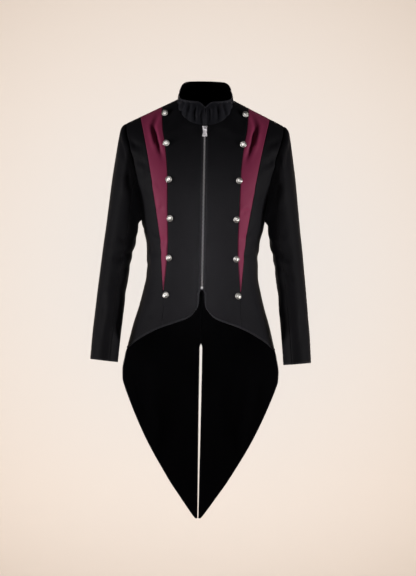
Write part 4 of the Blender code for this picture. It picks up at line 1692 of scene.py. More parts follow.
@dataclass(frozen=True)
class ThreadFinish:
    """How a sewing thread looks."""

    name: str
    colour: Colour
    roughness: float = 0.55
    twists_per_mm: float = 4.0
    darkness: float = 0.6
    bump: float = 0.05
    bump_strength: float = 0.5
    sheen: float = 0.3

    def material(self, groups: ShaderGroups) -> bpy.types.Material:
        """Makes the material.

        Args:
            groups: The shared effects.

        Returns:
            The material, with a fine twist in its height, and painted shade that darkens the twist's low
            parts.
        """
        made, kit, shader = new_material(self.name)
        spots = kit.tree.nodes.new("ShaderNodeTexCoord")
        threads = {"Place": spots.outputs["Object"], "Threads": self.twists_per_mm / MM}
        twist = kit.group(groups.weaves[Weave.TWILL], threads)
        # Painted shade: the twist's low parts take the darker colour.
        dark = tuple(self.darkness * part for part in self.colour)
        kit.dress(
            shader, twist["Height"], self.bump_strength, self.bump,
            Base_Color=kit.mix(twist["Height"], (*dark, 1), (*self.colour, 1)),
            Roughness=self.roughness, Sheen_Weight=self.sheen,
        )
        return made


# Each cloth's second colour is the one near its hemmed edges: rubbed wear and a painted highlight of the
# rolled edge.
BLACK_CLOTH = ClothFinish(
    "black_cloth", (0.009, 0.0088, 0.0108), (0.0235, 0.0235, 0.0275), 0.62, Weave.TWILL, 1.3, 0.06,
    sheen=0.0045, sheen_colour=(0.8, 0.82, 1.0), shine=0.06,
)
COLLAR_CLOTH = ClothFinish(
    "collar_cloth", (0.017, 0.0173, 0.023), (0.04, 0.04, 0.05), 0.58, Weave.TWILL, 1.1, 0.08,
    sheen=0.005, sheen_colour=(0.8, 0.82, 1.0), shine=0.1,
)
BURGUNDY_CLOTH = ClothFinish(
    "burgundy_cloth", (0.33, 0.04, 0.11), (0.49, 0.078, 0.178), 0.55, Weave.SATIN, 2.2, 0.04,
    unevenness=0.45, sheen=0.008, sheen_colour=(1.0, 0.6, 0.7), shine=0.12,
)
# A black satin lining, set darker than the face cloth so that it also stands in for the shade inside the
# tails: partly its own black, partly painted shade.
LINING = ClothFinish(
    "black_lining", (0.0022, 0.0022, 0.0027), (0.005, 0.005, 0.006), 0.7, Weave.SATIN, 2.6, 0.02,
    unevenness=0.3, shine=0.0,
)
ZIP_TAPE = ClothFinish(
    "woven_tape", (0.014, 0.014, 0.016), (0.03, 0.03, 0.033), 0.75, Weave.HERRINGBONE, 1.6, 0.12, shine=0.35,
)
SILVER = MetalFinish("antique_silver", (0.92, 0.91, 0.89), (0.12, 0.115, 0.11), 0.3)
ZIP_METAL = MetalFinish("zip_metal", (0.34, 0.33, 0.35), (0.1, 0.1, 0.11), 0.32)
BLACK_THREAD = ThreadFinish("black_thread", (0.03, 0.03, 0.034))
BURGUNDY_THREAD = ThreadFinish("burgundy_thread", (0.33, 0.07, 0.11))


# Sewing, zip and buttons

def mesh_piece(
    name: str, points: Array, faces: Iterable[Sequence[int]], material: bpy.types.Material,
    relief: Array | None = None,
) -> bpy.types.Object:
    """Makes an object from points in mm.

    Args:
        name: The piece's name.
        points: Its points.
        faces: Its faces, as rows of point numbers.
        material: Its material.
        relief: How high each point stands in the relief, from 0 to 1.

    Returns:
        The new object.
    """
    mesh = bpy.data.meshes.new(name)
    mesh.from_pydata((np.asarray(points) * MM).tolist(), [], [list(map(int, face)) for face in faces])
    mesh.materials.append(material)
    mesh.shade_smooth()
    if relief is not None:
        layer = mesh.attributes.new("relief", "FLOAT", "POINT")
        layer.data.foreach_set("value", np.asarray(relief, np.float32))
    mesh.validate()
    piece = bpy.data.objects.new(name, mesh)
    bpy.context.scene.collection.objects.link(piece)
    return piece


def joined(parts: Sequence[tuple[Array, Array]]) -> tuple[Array, list]:
    """Joins several sets of points and faces into one.

    Args:
        parts: Pairs of points and faces.

    Returns:
        All points and all faces.
    """
    points, faces, before = [], [], 0
    for some_points, some_faces in parts:
        points.append(some_points.reshape(-1, 3))
        faces.extend((np.asarray(face) + before).tolist() for face in some_faces)
        before += len(points[-1])
    return np.concatenate(points), faces


def tube_faces(rings: int, sides: int) -> list:
    """Faces of a closed tube given ring by ring, with both ends capped.

    Args:
        rings: How many rings.
        sides: Points in each ring.

    Returns:
        The faces, as rows of point numbers.
    """
    faces = []
    for i in range(rings - 1):
        for j in range(sides):
            k = (j + 1) % sides
            faces.append([i * sides + j, (i + 1) * sides + j, (i + 1) * sides + k, i * sides + k])
    faces.append(list(range(sides)))
    faces.append([(rings - 1) * sides + j for j in range(sides - 1, -1, -1)])
    return faces


@dataclass
class Stitching:
    """Rows of single stitches, each a short thread that dips into the cloth at both ends."""

    name: str
    material: bpy.types.Material
    pitch: float = 3.1
    length: float = 2.35
    thread: float = 0.24
    sides: int = 6
    parts: list = field(default_factory=list)

    def sew(self, points: Array, facings: Array, side: Side) -> None:
        """Sews a row of stitches.

        Args:
            points: Points that the row follows, on the wearer's left.
            facings: The cloth's outward directions there.
            side: The side that it is sewn on.
        """
        flip = np.array([side.value, 1, 1])
        points, facings = points * flip, facings * flip
        steps = np.linalg.norm(np.diff(points, axis=0), axis=1)
        along = np.concatenate([[0], np.cumsum(steps)])
        starts = np.arange(self.pitch / 2, along[-1] - self.pitch, self.pitch)
        if not len(starts):
            return
        lean = np.array([0.0, 0.2, 0.5, 0.8, 1.0]) * self.length
        spots = starts[:, None] + lean
        middle = np.stack([np.interp(spots, along, points[:, k]) for k in range(3)], axis=-1)
        facing = np.stack([np.interp(spots, along, facings[:, k]) for k in range(3)], axis=-1)
        facing /= np.linalg.norm(facing, axis=-1, keepdims=True)
        ahead = middle[:, -1:] - middle[:, :1]
        ahead /= np.maximum(np.linalg.norm(ahead, axis=-1, keepdims=True), 1e-9)
        beside = np.cross(facing, ahead)
        lift = np.array([-0.22, 0.1, 0.2, 0.1, -0.22])[None, :, None]
        radius = np.array([0.5, 0.95, 1.0, 0.95, 0.5])[None, :, None, None] * self.thread
        turn = 2 * math.pi * np.arange(self.sides) / self.sides
        round_it = np.cos(turn)[None, None, :, None] * facing[:, :, None]
        round_it = round_it + np.sin(turn)[None, None, :, None] * beside[:, :, None]
        rings = (middle + facing * lift)[:, :, None] + radius * round_it
        pattern = tube_faces(len(lean), self.sides)
        for stitch in rings:
            self.parts.append((stitch, pattern))

    def finish(self) -> bpy.types.Object:
        """Makes the piece that holds every stitch sewn so far."""
        points, faces = joined(self.parts)
        return mesh_piece(self.name, points, faces, self.material)


@dataclass
class Zip:
    """The zip: woven tape, teeth, slider, pull tab and bottom stop."""

    form: BodyForm
    wall: float = 2.0
    gap: float = 0.3
    tape_half: float = 13.0
    tape_thick: float = 0.9
    tape_behind: float = 0.05
    tape_above: float = 5.0
    tape_rows: int = 110
    cord_x: float = 1.3
    cord_proud: float = 0.5
    cord_width: float = 0.8
    chain_proud: float = 0.4
    tooth_pitch: float = 1.75
    tooth_long: float = 1.25
    slider_z: float = -81.0
    slider_long: float = 14.0
    slider_out: float = 0.9
    slider_thick: float = 2.0
    half_top: float = 7.4
    half_end: float = 5.4
    hinge_along: float = 0.5
    hinge_above: float = 1.3
    bail_radius: float = 2.9
    bail_hole: float = 1.55
    bail_half: float = 1.4
    pull_thick: float = 1.6
    stop_z: float = -500.0
    stop_long: float = 7.5
    stop_half: float = 3.0
    clip_spot: tuple[float, float] = (1.5, 4.6)
    clip_half: tuple[float, float] = (1.3, 2.1)
    pull_outline: Rows = (
        # distance from the hinge, half width
        (-0.8, 3.2), (0.2, 4.0), (4.2, 4.2), (6.0, 5.5), (12.0, 4.9), (18.0, 6.0),
        (21.5, 6.8), (23.4, 6.2), (24.3, 4.4),
    )
    pull_slot: tuple[float, float, float] = (0.8, 3.5, 1.9)
    pull_steps: int = 40
    panel_sunk: float = 0.3
    corner_share: float = 0.3
    corner_reach: float = 0.9
    shine: float = 0.8
    tooth_outline: Rows = (
        # across from its own side, out
        (2.9, 0.05), (2.55, 0.4), (0.5, 0.4), (-0.6, 0.15), (-0.95, -0.35), (-0.6, -1.1),
        (0.5, -1.5), (2.4, -1.6), (2.9, -1.3),
    )
    tooth_levels: Rows = (
        # along the chain in shares of the tooth's length, share of its outline's size
        (-0.5, 0.82), (-0.42, 1.0), (0.42, 1.0), (0.5, 0.82),
    )

    def frame(self, z: Array) -> tuple[Array, Array, Array]:
        """Where the zip lies.

        Args:
            z: Heights.

        Returns:
            The points at the centre front, the outward directions and the directions down.
        """
        z = np.asarray(z, float)
        point, out = self.form.point(np.zeros(z.shape), z), self.form.normal(np.zeros(z.shape), z)
        out = out * np.array([0, 1, 1])
        out /= np.linalg.norm(out, axis=-1, keepdims=True)
        down = np.stack([np.zeros(z.shape), -out[..., 2], out[..., 1]], axis=-1)
        down = down * np.where(down[..., 2:] < 0, 1, -1)
        return point, out, down

    def put(self, local: Array, z: float) -> Array:
        """Turns points given at the zip into the coat's own points.

        Args:
            local: The points as (across, out, down).
            z: The height at which they are put.

        Returns:
            The points.
        """
        point, out, down = self.frame(np.array(z))
        across = np.array([1.0, 0, 0])
        return point + local[..., :1] * across + local[..., 1:2] * out + local[..., 2:] * down

    def tape(self, cloth: bpy.types.Material) -> bpy.types.Object:
        """Builds the two strips of woven tape behind the front edges.

        Args:
            cloth: The tape's material.

        Returns:
            The piece.
        """
        behind = self.wall + self.gap + self.tape_behind
        z = np.linspace(self.form.neck_front_z - self.tape_above, self.form.inset_tip_z, self.tape_rows)
        point, out = self.frame(z)[:2]
        x = np.concatenate([[0.9, 1.6], np.linspace(3, self.tape_half - 0.4, 8), [self.tape_half]])
        cord = self.cord_proud * np.exp(-(((x - self.cord_x) / self.cord_width) ** 2))
        index = np.arange(len(z) * len(x)).reshape(len(z), len(x))
        pattern = two_skins(index, border_pairs(index))
        parts, flats = [], []
        for sign in (1, -1):
            face = point[:, None] + (x * sign)[None, :, None] * np.array([1.0, 0, 0])
            front = face - out[:, None] * (behind - cord)[None, :, None]
            rear = face - out[:, None] * (behind + self.tape_thick + cord)[None, :, None]
            skins = np.concatenate([front.reshape(-1, 3), rear.reshape(-1, 3)])
            parts.append((skins, pattern[:, ::sign]))
            flat = np.stack(np.broadcast_arrays(x[None] * sign, z[:, None]), axis=-1).reshape(-1, 2)
            flats.append(np.tile(flat, (2, 1)))
        points, faces = joined(parts)
        piece = mesh_piece("zip_tape_strips", points, faces, cloth)
        write_cut(piece.data, np.concatenate(flats) * MM, np.full(len(points), 5.0))
        return piece

    def metal_piece(
        self, name: str, parts: Sequence[tuple[Array, Array]], z: float, metal: bpy.types.Material,
    ) -> bpy.types.Object:
        """Joins parts of the zip's metal into a piece.

        Args:
            name: The piece's name.
            parts: Points as (across, out, down), and faces.
            z: The height at which they are put.
            metal: The zip's metal.

        Returns:
            The piece.
        """
        points, faces = joined(parts)
        return mesh_piece(name, self.put(points, z), faces, metal, np.full(len(points), self.shine))

    def teeth(self, metal: bpy.types.Material) -> bpy.types.Object:
        """Builds the teeth, which reach over the middle from both sides in turn.

        Args:
            metal: The zip's metal.

        Returns:
            The piece.
        """
        outline = np.array(self.tooth_outline)
        depth, squeeze = np.array(self.tooth_levels).T
        centre = outline.mean(axis=0)
        rings = centre + (outline - centre)[None] * squeeze[:, None, None]
        along = np.broadcast_to((depth * self.tooth_long)[:, None, None], rings.shape[:2] + (1,))
        local = np.concatenate([rings, along], axis=2)
        pattern = tube_faces(len(depth), len(outline))
        parts = []
        first = self.slider_z - self.slider_long / 2 + 1
        for k, z in enumerate(np.arange(first, self.stop_z + 1, -self.tooth_pitch)):
            sign = 1 if k % 2 else -1
            tooth = self.put(local * np.array([sign, 1, 1]), float(z))
            parts.append((tooth, pattern if sign < 0 else [face[::-1] for face in pattern]))
        points, faces = joined(parts)
        return mesh_piece("zip_teeth", points, faces, metal, np.full(len(points), 0.85))

    def plate(
        self, outline: Rows, low: float, high: float, edge: float, crown: float = 0.0,
    ) -> tuple[Array, list]:
        """A flat metal part with rounded edges.

        Args:
            outline: Its corners as (across, down), in order.
            low: Where it starts, outward.
            high: Where it ends.
            edge: How far its edges are rounded.
            crown: How much its face rises over the middle.

        Returns:
            Its points as (across, out, down), and its faces.
        """
        corners = np.array(outline, float)
        middle = (corners.min(axis=0) + corners.max(axis=0)) / 2
        reach = np.abs(corners - middle).max()
        shrink = (reach - edge) / reach
        levels = (
            # how far out, and the share of the outline's size
            (low, shrink), (low + edge, 1.0), (high - edge, 1.0),
            (high - 0.3 * edge, (1 + shrink) / 2), (high, shrink),
            (high + 0.7 * crown, 0.55 * shrink), (high + crown, 0.2 * shrink),
        )
        rings = []
        for out, share in levels:
            ring = middle + (corners - middle) * share
            rings.append(np.stack([ring[:, 0], np.full(len(ring), out), ring[:, 1]], axis=-1))
        return np.concatenate(rings), tube_faces(len(levels), len(corners))

    def ring(self, outer: float, inner: float, half: float, along: float, out: float) -> tuple[Array, list]:
        """A short pipe across the zip, with rounded rims.

        Args:
            outer: Its outer radius.
            inner: Its bore's radius.
            half: Half its length.
            along: How far down its axis lies.
            out: How far out its axis lies.

        Returns:
            Its points as (across, out, down), and its faces.
        """
        steps, rim, bore = 24, 0.35, 0.2
        section = np.array([
            (half, outer - rim), (half - rim, outer), (rim - half, outer), (-half, outer - rim),
            (-half, inner + bore), (bore - half, inner), (half - bore, inner), (half, inner + bore),
        ])
        turn = 2 * math.pi * np.arange(steps) / steps
        points = np.array([
            [(x, out + r * math.cos(t), along + r * math.sin(t)) for x, r in section] for t in turn
        ])
        count = len(section)
        faces = []
        for i in range(steps):
            for j in range(count):
                n, k = (i + 1) % steps, (j + 1) % count
                faces.append([i * count + j, n * count + j, n * count + k, i * count + k])
        return points.reshape(-1, 3), faces

    def slider(self, metal: bpy.types.Material) -> bpy.types.Object:
        """Builds the slider: crowned front plate, bridge, back plate and the bail.

        Args:
            metal: The zip's metal.

        Returns:
            The piece.
        """
        top, end = -self.slider_long / 2, self.slider_long / 2
        front = self.slider_out + self.slider_thick
        back = -(self.wall + 2 * self.gap + 0.15 + self.tape_thick)
        shield = self.rounded([
            (-self.half_top, top + 1.5), (-self.half_top + 2.2, top), (self.half_top - 2.2, top),
            (self.half_top, top + 1.5), (self.half_end, end - 1), (self.half_end - 1.2, end),
            (1.2 - self.half_end, end), (-self.half_end, end - 1),
        ])
        rear = self.rounded([
            (-self.half_end, top), (self.half_end, top), (self.half_end, end - 2), (-self.half_end, end - 2),
        ])
        neck = self.rounded([(-2.6, top), (2.6, top), (2.6, top + 2.6), (-2.6, top + 2.6)])
        hinge = front + self.hinge_above
        parts = [
            self.plate(shield, self.slider_out, front - 0.25, 0.5, 0.25),
            self.plate(rear, back - 1.4, back, 0.4),
            self.plate(neck, back - 0.6, front - 0.5, 0.3),
            self.ring(self.bail_radius, self.bail_hole, self.bail_half, self.hinge_along, hinge),
        ]
        return self.metal_piece("slider_metal", parts, self.slider_z, metal)

    def rounded(self, corners: Rows) -> list:
        """Cuts each corner of an outline into three points on a curve.

        Args:
            corners: The outline's corners.

        Returns:
            The new corners.
        """
        result = []
        corners = np.array(corners, float)
        for before, here, after in zip(np.roll(corners, 1, axis=0), corners, np.roll(corners, -1, axis=0)):
            ends = []
            for other in (before, after):
                length = max(np.linalg.norm(other - here), 0.01)
                ends.append(here + (other - here) * min(self.corner_share, self.corner_reach / length))
            result += [ends[0], (ends[0] + 2 * here + ends[1]) / 4, ends[1]]
        return [tuple(corner) for corner in result]

    def pull(self, metal: bpy.types.Material) -> bpy.types.Object:
        """Builds the pull tab, with its slot round the bail and a sunk panel.

        Args:
            metal: The zip's metal.

        Returns:
            The piece.
        """
        start, end = self.pull_outline[0][0], self.pull_outline[-1][0]
        slot_start, slot_end, slot_half = self.pull_slot
        along = np.concatenate([
            [start, -0.5, 0.2], np.linspace(slot_start, slot_end, 6),
            np.linspace(4.2, 23.4, self.pull_steps), [24.0, end],
        ])
        shares = np.array([0, 0.03, 0.08, 0.2, 0.45, 0.7, 0.86, 0.93, 0.97, 1])
        in_slot = (along >= slot_start - 0.01) & (along <= slot_end + 0.01)
        hollow = np.where(in_slot, slot_half, 0.0)[:, None]
        half = Profile(self.pull_outline)(along).reshape(-1, 1)
        across = hollow + (half - hollow) * shares
        lip = np.minimum(1, (1 - shares) / 0.07)[None]
        ends = np.minimum(1, (np.minimum(along - start, end - along) / 0.5))[:, None]
        thick = self.pull_thick / 2 * (0.45 + 0.55 * np.sqrt(lip * np.clip(ends, 0, 1)))
        panel = smooth(5.5, 7, along)[:, None] * (1 - smooth(19.5, 21, along))[:, None]
        panel = panel * (1 - smooth(0.62, 0.8, shares))[None]
        thick = thick - self.panel_sunk * panel
        down = np.broadcast_to(self.hinge_along + along[:, None], across.shape)
        hinge = self.slider_out + self.slider_thick + self.hinge_above
        index = np.arange(across.size).reshape(across.shape)
        rim = np.concatenate([index[0, :-1], index[:-1, -1], index[-1, :0:-1]])
        border = list(zip(rim, rim[1:]))
        for k in range(len(along) - 1):
            if across[k, 0] > 0 or across[k + 1, 0] > 0:
                border.append((index[k + 1, 0], index[k, 0]))
        pattern = two_skins(index, np.array(border))
        parts = []
        for sign in (1, -1):
            skins = [
                np.stack([sign * across, hinge + outward * thick, down], axis=-1).reshape(-1, 3)
                for outward in (1, -1)
            ]
            parts.append((np.concatenate(skins), pattern[:, ::sign]))
        points, faces = joined(parts)
        relief = np.tile(1 - 0.45 * panel.ravel(), 4)
        return mesh_piece("pull_tab_metal", self.put(points, self.slider_z), faces, metal, relief)

    def stop(self, metal: bpy.types.Material) -> bpy.types.Object:
        """Builds the bottom stop: a small box with two domed clips on it.

        Args:
            metal: The zip's metal.

        Returns:
            The piece.
        """
        low = self.chain_proud + self.gap
        box = self.rounded([
            (-self.stop_half, 0), (self.stop_half, 0), (self.stop_half, self.stop_long),
            (-self.stop_half, self.stop_long),
        ])
        parts = [self.plate(box, low, low + 1.0, 0.3)]
        turn = 2 * math.pi * np.arange(14) / 14
        (across, down), (wide, long) = self.clip_spot, self.clip_half
        for sign in (1, -1):
            clip = [(sign * across + wide * math.cos(t), down + long * math.sin(t)) for t in turn]
            parts.append(self.plate(clip, low + 0.6, low + 1.3, 0.2, 0.2))
        return self.metal_piece("bottom_stop_metal", parts, self.stop_z, metal)


@dataclass
class Buttons:
    """Domed shank buttons with an old-silver relief: a roped rim round a rosette."""

    form: BodyForm
    creases: CreaseMap
    radius: float = 9.0
    rise: float = 4.1
    rim_height: float = 3.7
    shank_radius: float = 2.2
    seat: float = 0.3
    ropes: int = 26
    petals: int = 8
    steps: int = 72
    rope_at: float = 7.9
    rope_width: float = 0.55
    ring_at: float = 6.75
    ring_width: float = 0.22
    boss_radius: float = 1.75
    relief_depth: float = 0.55
    turned: float = 17.0
    turned_side: float = 11.0
    under: Rows = (
        # radius and height of the back, from the rim in to the shank
        (8.85, 3.3), (8.4, 2.95), (5.0, 2.85), (2.7, 2.7), (2.2, 2.2), (2.15, 0.9),
    )
    shank_end: float = 1.9
    under_relief: float = 0.35
    spots: Rows = (
        # distance out, height, lean towards the front in degrees
        (106.0, -43.5, 22), (101.5, -123.0, 8), (92.3, -219.0, 0),
        (87.0, -321.5, 0), (87.9, -426.0, 0), (94.5, -524.0, 0),
    )

    def relief(self, r: Array, turn: Array) -> Array:
        """Relief of the button's face.

        Args:
            r: Distance from the button's middle.
            turn: Angle round it, in radians.

        Returns:
            The relief, from 0 in its hollows to 1.
        """
        rope_across = np.exp(-(((r - self.rope_at) / self.rope_width) ** 2))
        rope = rope_across * (0.62 + 0.38 * np.cos(self.ropes * turn + 2.4 * (r - self.rope_at)))
        ring = 0.7 * np.exp(-(((r - self.ring_at) / self.ring_width) ** 2))
        leaf = np.abs(np.cos(self.petals / 2 * turn))
        tip = 2.0 + 4.3 * leaf ** 0.55
        petal = smooth(0, 0.9, tip - r) * smooth(1.9, 2.6, r)
        vein = 1 - 0.45 * np.exp(-((np.sin(self.petals / 2 * turn) * r / 0.34) ** 2))
        cup = 0.55 + 0.45 * np.sin(np.clip((r - 1.9) / 4.4, 0, 1) * math.pi)
        petal = petal * vein * cup * 0.85
        boss = smooth(0, 0.6, self.boss_radius - r) * (0.75 + 0.25 * np.cos(6 * turn) * smooth(0.3, 1.2, r))
        return np.clip(np.maximum.reduce([rope, ring, petal, boss]), 0, 1)

    def face(self, turned: float) -> tuple[Array, list, Array]:
        """The button's points, faces and relief, standing on its own axis.

        Args:
            turned: How far the rosette is turned, in degrees.

        Returns:
            The points, the faces and the relief of each point.
        """
        radii = np.concatenate([
            [0.35], np.linspace(0.8, 6.2, 19), np.linspace(6.45, 8.55, 15), [8.8, 8.95, 9.0],
        ])
        turn = 2 * math.pi * np.arange(self.steps) / self.steps
        rings, marks = [], []
        for r in radii:
            relief = self.relief(np.full(self.steps, r), turn + math.radians(turned))
            dome = self.rim_height + self.rise * max(1 - (r / self.radius) ** 2, 0) ** 0.8
            high = dome - self.relief_depth + self.relief_depth * relief * smooth(0, 0.5, self.radius - r)
            rings.append(np.stack([r * np.cos(turn), r * np.sin(turn), high], axis=-1))
            marks.append(relief)
        for r, high in (*self.under, (self.shank_end, self.seat)):
            rings.append(np.stack([r * np.cos(turn), r * np.sin(turn), np.full(self.steps, high)], axis=-1))
            marks.append(np.full(self.steps, self.under_relief))
        return np.concatenate(rings), tube_faces(len(rings), self.steps), np.concatenate(marks)

    def build(self, metal: bpy.types.Material) -> list[bpy.types.Object]:
        """Builds and places every button, each turned its own way.

        Args:
            metal: The buttons' material.

        Returns:
            The buttons.
        """
        pieces = []
        for side in Side:
            for number, (x, z, lean) in enumerate(self.spots, start=1):
                turned = self.turned * number + self.turned_side * side.value
                points, faces, relief = self.face(turned)
                angle = self.form.angle_at(np.array(x), np.array(z))
                seat = self.form.point(angle, np.array(z))
                square = self.form.normal(angle, np.array(z))
                seat = seat + square * self.creases.relief(np.array([angle]), np.array([z]), side)[0]
                flip = np.array([side.value, 1, 1])
                seat, square = Vector(seat * flip), Vector(square * flip)
                tip = Matrix.Rotation(math.radians(lean), 3, square.cross(Vector((0, -1, 0))))
                facing = tip @ square
                seat += facing * self.shank_radius * math.sin(math.radians(lean))
                turn = np.array(facing.to_track_quat("Z", "Y").to_matrix())
                name = f"button_{side.word}_{number}"
                piece = mesh_piece(name + "_silver", points @ turn.T + np.array(seat), faces, metal, relief)
                place(piece, "silver_button", [name])
                pieces.append(piece)
        return pieces


# Creases, placed from the photograph in front and in the same manner where it does not show

L, R = Side.LEFT, Side.RIGHT


def folds(face: Face, *rows: Sequence) -> tuple[Crease, ...]:
    """Reads creases out of a table.

    Args:
        face: Where they lie: on the front, on the back or round the side.
        *rows: For each crease its side, depth, width and lift, and then the numbers of its path.

    Returns:
        The creases.
    """
    return tuple(Crease(tuple(zip(row[4::2], row[5::2])), *row[1:4], face, row[0]) for row in rows)


BODY_CREASES = (
    *folds(Face.FRONT,
        # the slack fold across each inset, and the smaller ones below it
        (R, 3.0, 3.8, 0.5, 122, -50, 136, -78, 127, -118, 112, -158),
        (L, 3.1, 4.0, 0.5, 121, -48, 134, -74, 126, -122, 109, -166),
        (R, 0.9, 7.0, 0.6, 104, -292, 118, -300, 128, -292),
        (L, 1.0, 6.5, 0.6, 99, -306, 112, -298, 126, -304),
        (R, 0.6, 6.0, 0.5, 97, -384, 106, -396, 112, -390),
        # drags from the armholes towards the chest
        (R, 2.0, 10.0, 0.7, 203, -112, 184, -128, 160, -136),
        (R, 1.7, 11.0, 0.7, 190, -160, 172, -172, 150, -176),
        (R, 1.3, 12.0, 0.6, 166, -230, 156, -225, 140, -212),
        (L, 1.7, 10.0, 0.7, 204, -104, 186, -116, 164, -120),
        (L, 2.1, 11.0, 0.7, 193, -150, 174, -168, 150, -176),
        (L, 1.2, 11.0, 0.6, 164, -239, 154, -235, 138, -226),
        # soft pulls below the collar and on the chest
        (R, 1.2, 9.0, 0.5, 52, -72, 62, -92, 80, -112),
        (L, 1.0, 10.0, 0.5, 48, -78, 60, -104, 72, -138),
        (R, 1.1, 9.0, 0.5, 88, -30, 98, -52, 100, -84),
        (L, 0.9, 8.0, 0.5, 90, -26, 97, -58, 99, -88),
        (R, 0.8, 16.0, 0.4, 30, -150, 44, -196, 50, -250),
        (L, 0.8, 15.0, 0.4, 34, -176, 46, -232, 44, -288),
        # slack at the waist
        (R, 1.3, 9.0, 0.6, 140, -366, 118, -380, 90, -384),
        (R, 1.1, 9.0, 0.6, 143, -408, 124, -414, 98, -404),
        (L, 1.1, 9.0, 0.6, 142, -352, 120, -368, 96, -374),
        (L, 1.3, 10.0, 0.6, 144, -398, 126, -410, 100, -414),
        (L, 0.35, 2.6, 0.4, 11, -350, 12, -440, 11, -530),
        (R, 0.45, 2.8, 0.4, 13, -316, 14, -420, 13, -526),
        (R, 0.7, 10.0, 0.5, 14, -404, 38, -412, 64, -404),
        (L, 0.7, 10.0, 0.5, 12, -372, 30, -384, 58, -386),
        # the cut-away below
        (R, 0.9, 15.0, 0.5, 120, -540, 136, -580, 150, -618),
        (L, 0.7, 14.0, 0.5, 58, -500, 60, -540, 54, -580),
        (L, 0.8, 14.0, 0.5, 124, -528, 134, -572, 158, -622),
    ),
    *folds(Face.ROUND,
        # the sides and the back, which the photograph does not show
        (R, 1.2, 9.0, 0.6, 70, -330, 92, -352, 118, -348),
        (L, 1.4, 10.0, 0.6, 66, -398, 90, -420, 122, -418),
        (R, 1.1, 10.0, 0.6, 78, -440, 100, -452, 124, -446),
    ),
    *folds(Face.BACK,
        (L, 2.0, 12.0, 0.6, 172, -232, 142, -250, 104, -246),
        (R, 1.8, 12.0, 0.6, 176, -206, 148, -226, 112, -232),
        (L, 1.5, 13.0, 0.6, 186, -150, 164, -176, 132, -196),
        (R, 1.7, 12.0, 0.6, 188, -142, 160, -162, 138, -186),
        (L, 1.5, 9.0, 0.7, 12, -372, 44, -384, 88, -374),
        (R, 1.3, 9.0, 0.7, 10, -392, 40, -398, 76, -390),
        (R, 1.6, 10.0, 0.7, 18, -424, 56, -436, 104, -428),
        (L, 1.3, 10.0, 0.7, 24, -416, 62, -420, 112, -404),
        (R, 0.9, 11.0, 0.6, 30, -330, 62, -338, 96, -322),
        (L, 1.5, 18.0, 0.5, 46, -480, 66, -560, 74, -650),
        (R, 1.3, 17.0, 0.5, 50, -500, 64, -580, 80, -668),
        (R, 1.4, 16.0, 0.5, 112, -520, 132, -600, 148, -690),
        (L, 1.2, 17.0, 0.5, 118, -500, 130, -586, 142, -668),
        # the hang of the tails
        (R, 2.6, 14.0, 0.6, 158, -700, 150, -780, 122, -900),
        (R, 1.6, 9.0, 0.6, 176, -720, 166, -790, 140, -868),
        (R, 1.8, 14.0, 0.6, 104, -720, 98, -820, 80, -940),
        (R, 1.6, 12.0, 0.6, 44, -760, 42, -880, 28, -1010),
        (L, 2.3, 14.0, 0.6, 162, -716, 148, -810, 118, -908),
        (L, 2.0, 15.0, 0.6, 112, -700, 106, -790, 84, -930),
        (L, 1.5, 12.0, 0.6, 52, -740, 46, -860, 34, -990),
    ),
)
ELBOW_FOLDS: Rows = (
    # height at the inside of the arm, depth, width, lean
    (-372, 2.2, 11, 0.35), (-412, 2.8, 10, 0.2), (-446, 2.0, 12, -0.15), (-520, 1.6, 16, -0.3),
)
SLEEVE_CREASES = (
    *folds(Face.FRONT,
        # sleeve head and the drag below it
        (R, 1.6, 9.0, 0.6, 20, -104, 48, -132, 72, -176),
        (R, 1.8, 9.0, 0.6, 44, -92, 70, -112, 96, -150),
        (L, 1.4, 9.0, 0.6, 16, -110, 44, -140, 60, -190),
        (L, 2.0, 10.0, 0.6, 40, -96, 72, -122, 98, -170),
        (R, 1.8, 10.0, 0.6, 118, -262, 96, -232, 84, -190),
        (L, 1.6, 9.0, 0.6, 122, -280, 100, -256, 90, -214),
        # elbow
        (R, 1.5, 9.0, 0.6, 150, -372, 112, -384, 78, -374),
        (R, 1.8, 9.0, 0.6, 158, -416, 118, -424, 74, -436),
        (R, 1.3, 10.0, 0.6, 150, -452, 110, -470, 84, -494),
        (L, 1.3, 9.0, 0.6, 156, -360, 116, -368, 84, -354),
        (L, 1.8, 10.0, 0.6, 152, -404, 112, -418, 70, -420),
        (L, 1.4, 10.0, 0.6, 146, -444, 104, -456, 80, -482),
        (R, 1.5, 10.0, 0.6, 206, -380, 246, -398, 286, -392),
        (L, 1.7, 10.0, 0.6, 204, -430, 250, -440, 296, -420),
        (R, 1.3, 11.0, 0.6, 210, -470, 244, -486, 276, -480),
        # upper arm behind and forearm
        (L, 1.6, 12.0, 0.6, 232, -190, 268, -226, 300, -236),
        (R, 1.8, 12.0, 0.6, 226, -176, 262, -206, 304, -212),
        (R, 1.0, 12.0, 0.5, 60, -520, 66, -580, 58, -640),
        (L, 0.9, 12.0, 0.5, 52, -540, 60, -600, 68, -650),
        (L, 1.1, 10.0, 0.6, 130, -560, 150, -584, 176, -590),
        (R, 1.1, 10.0, 0.6, 128, -604, 152, -622, 180, -618),
    ),
)
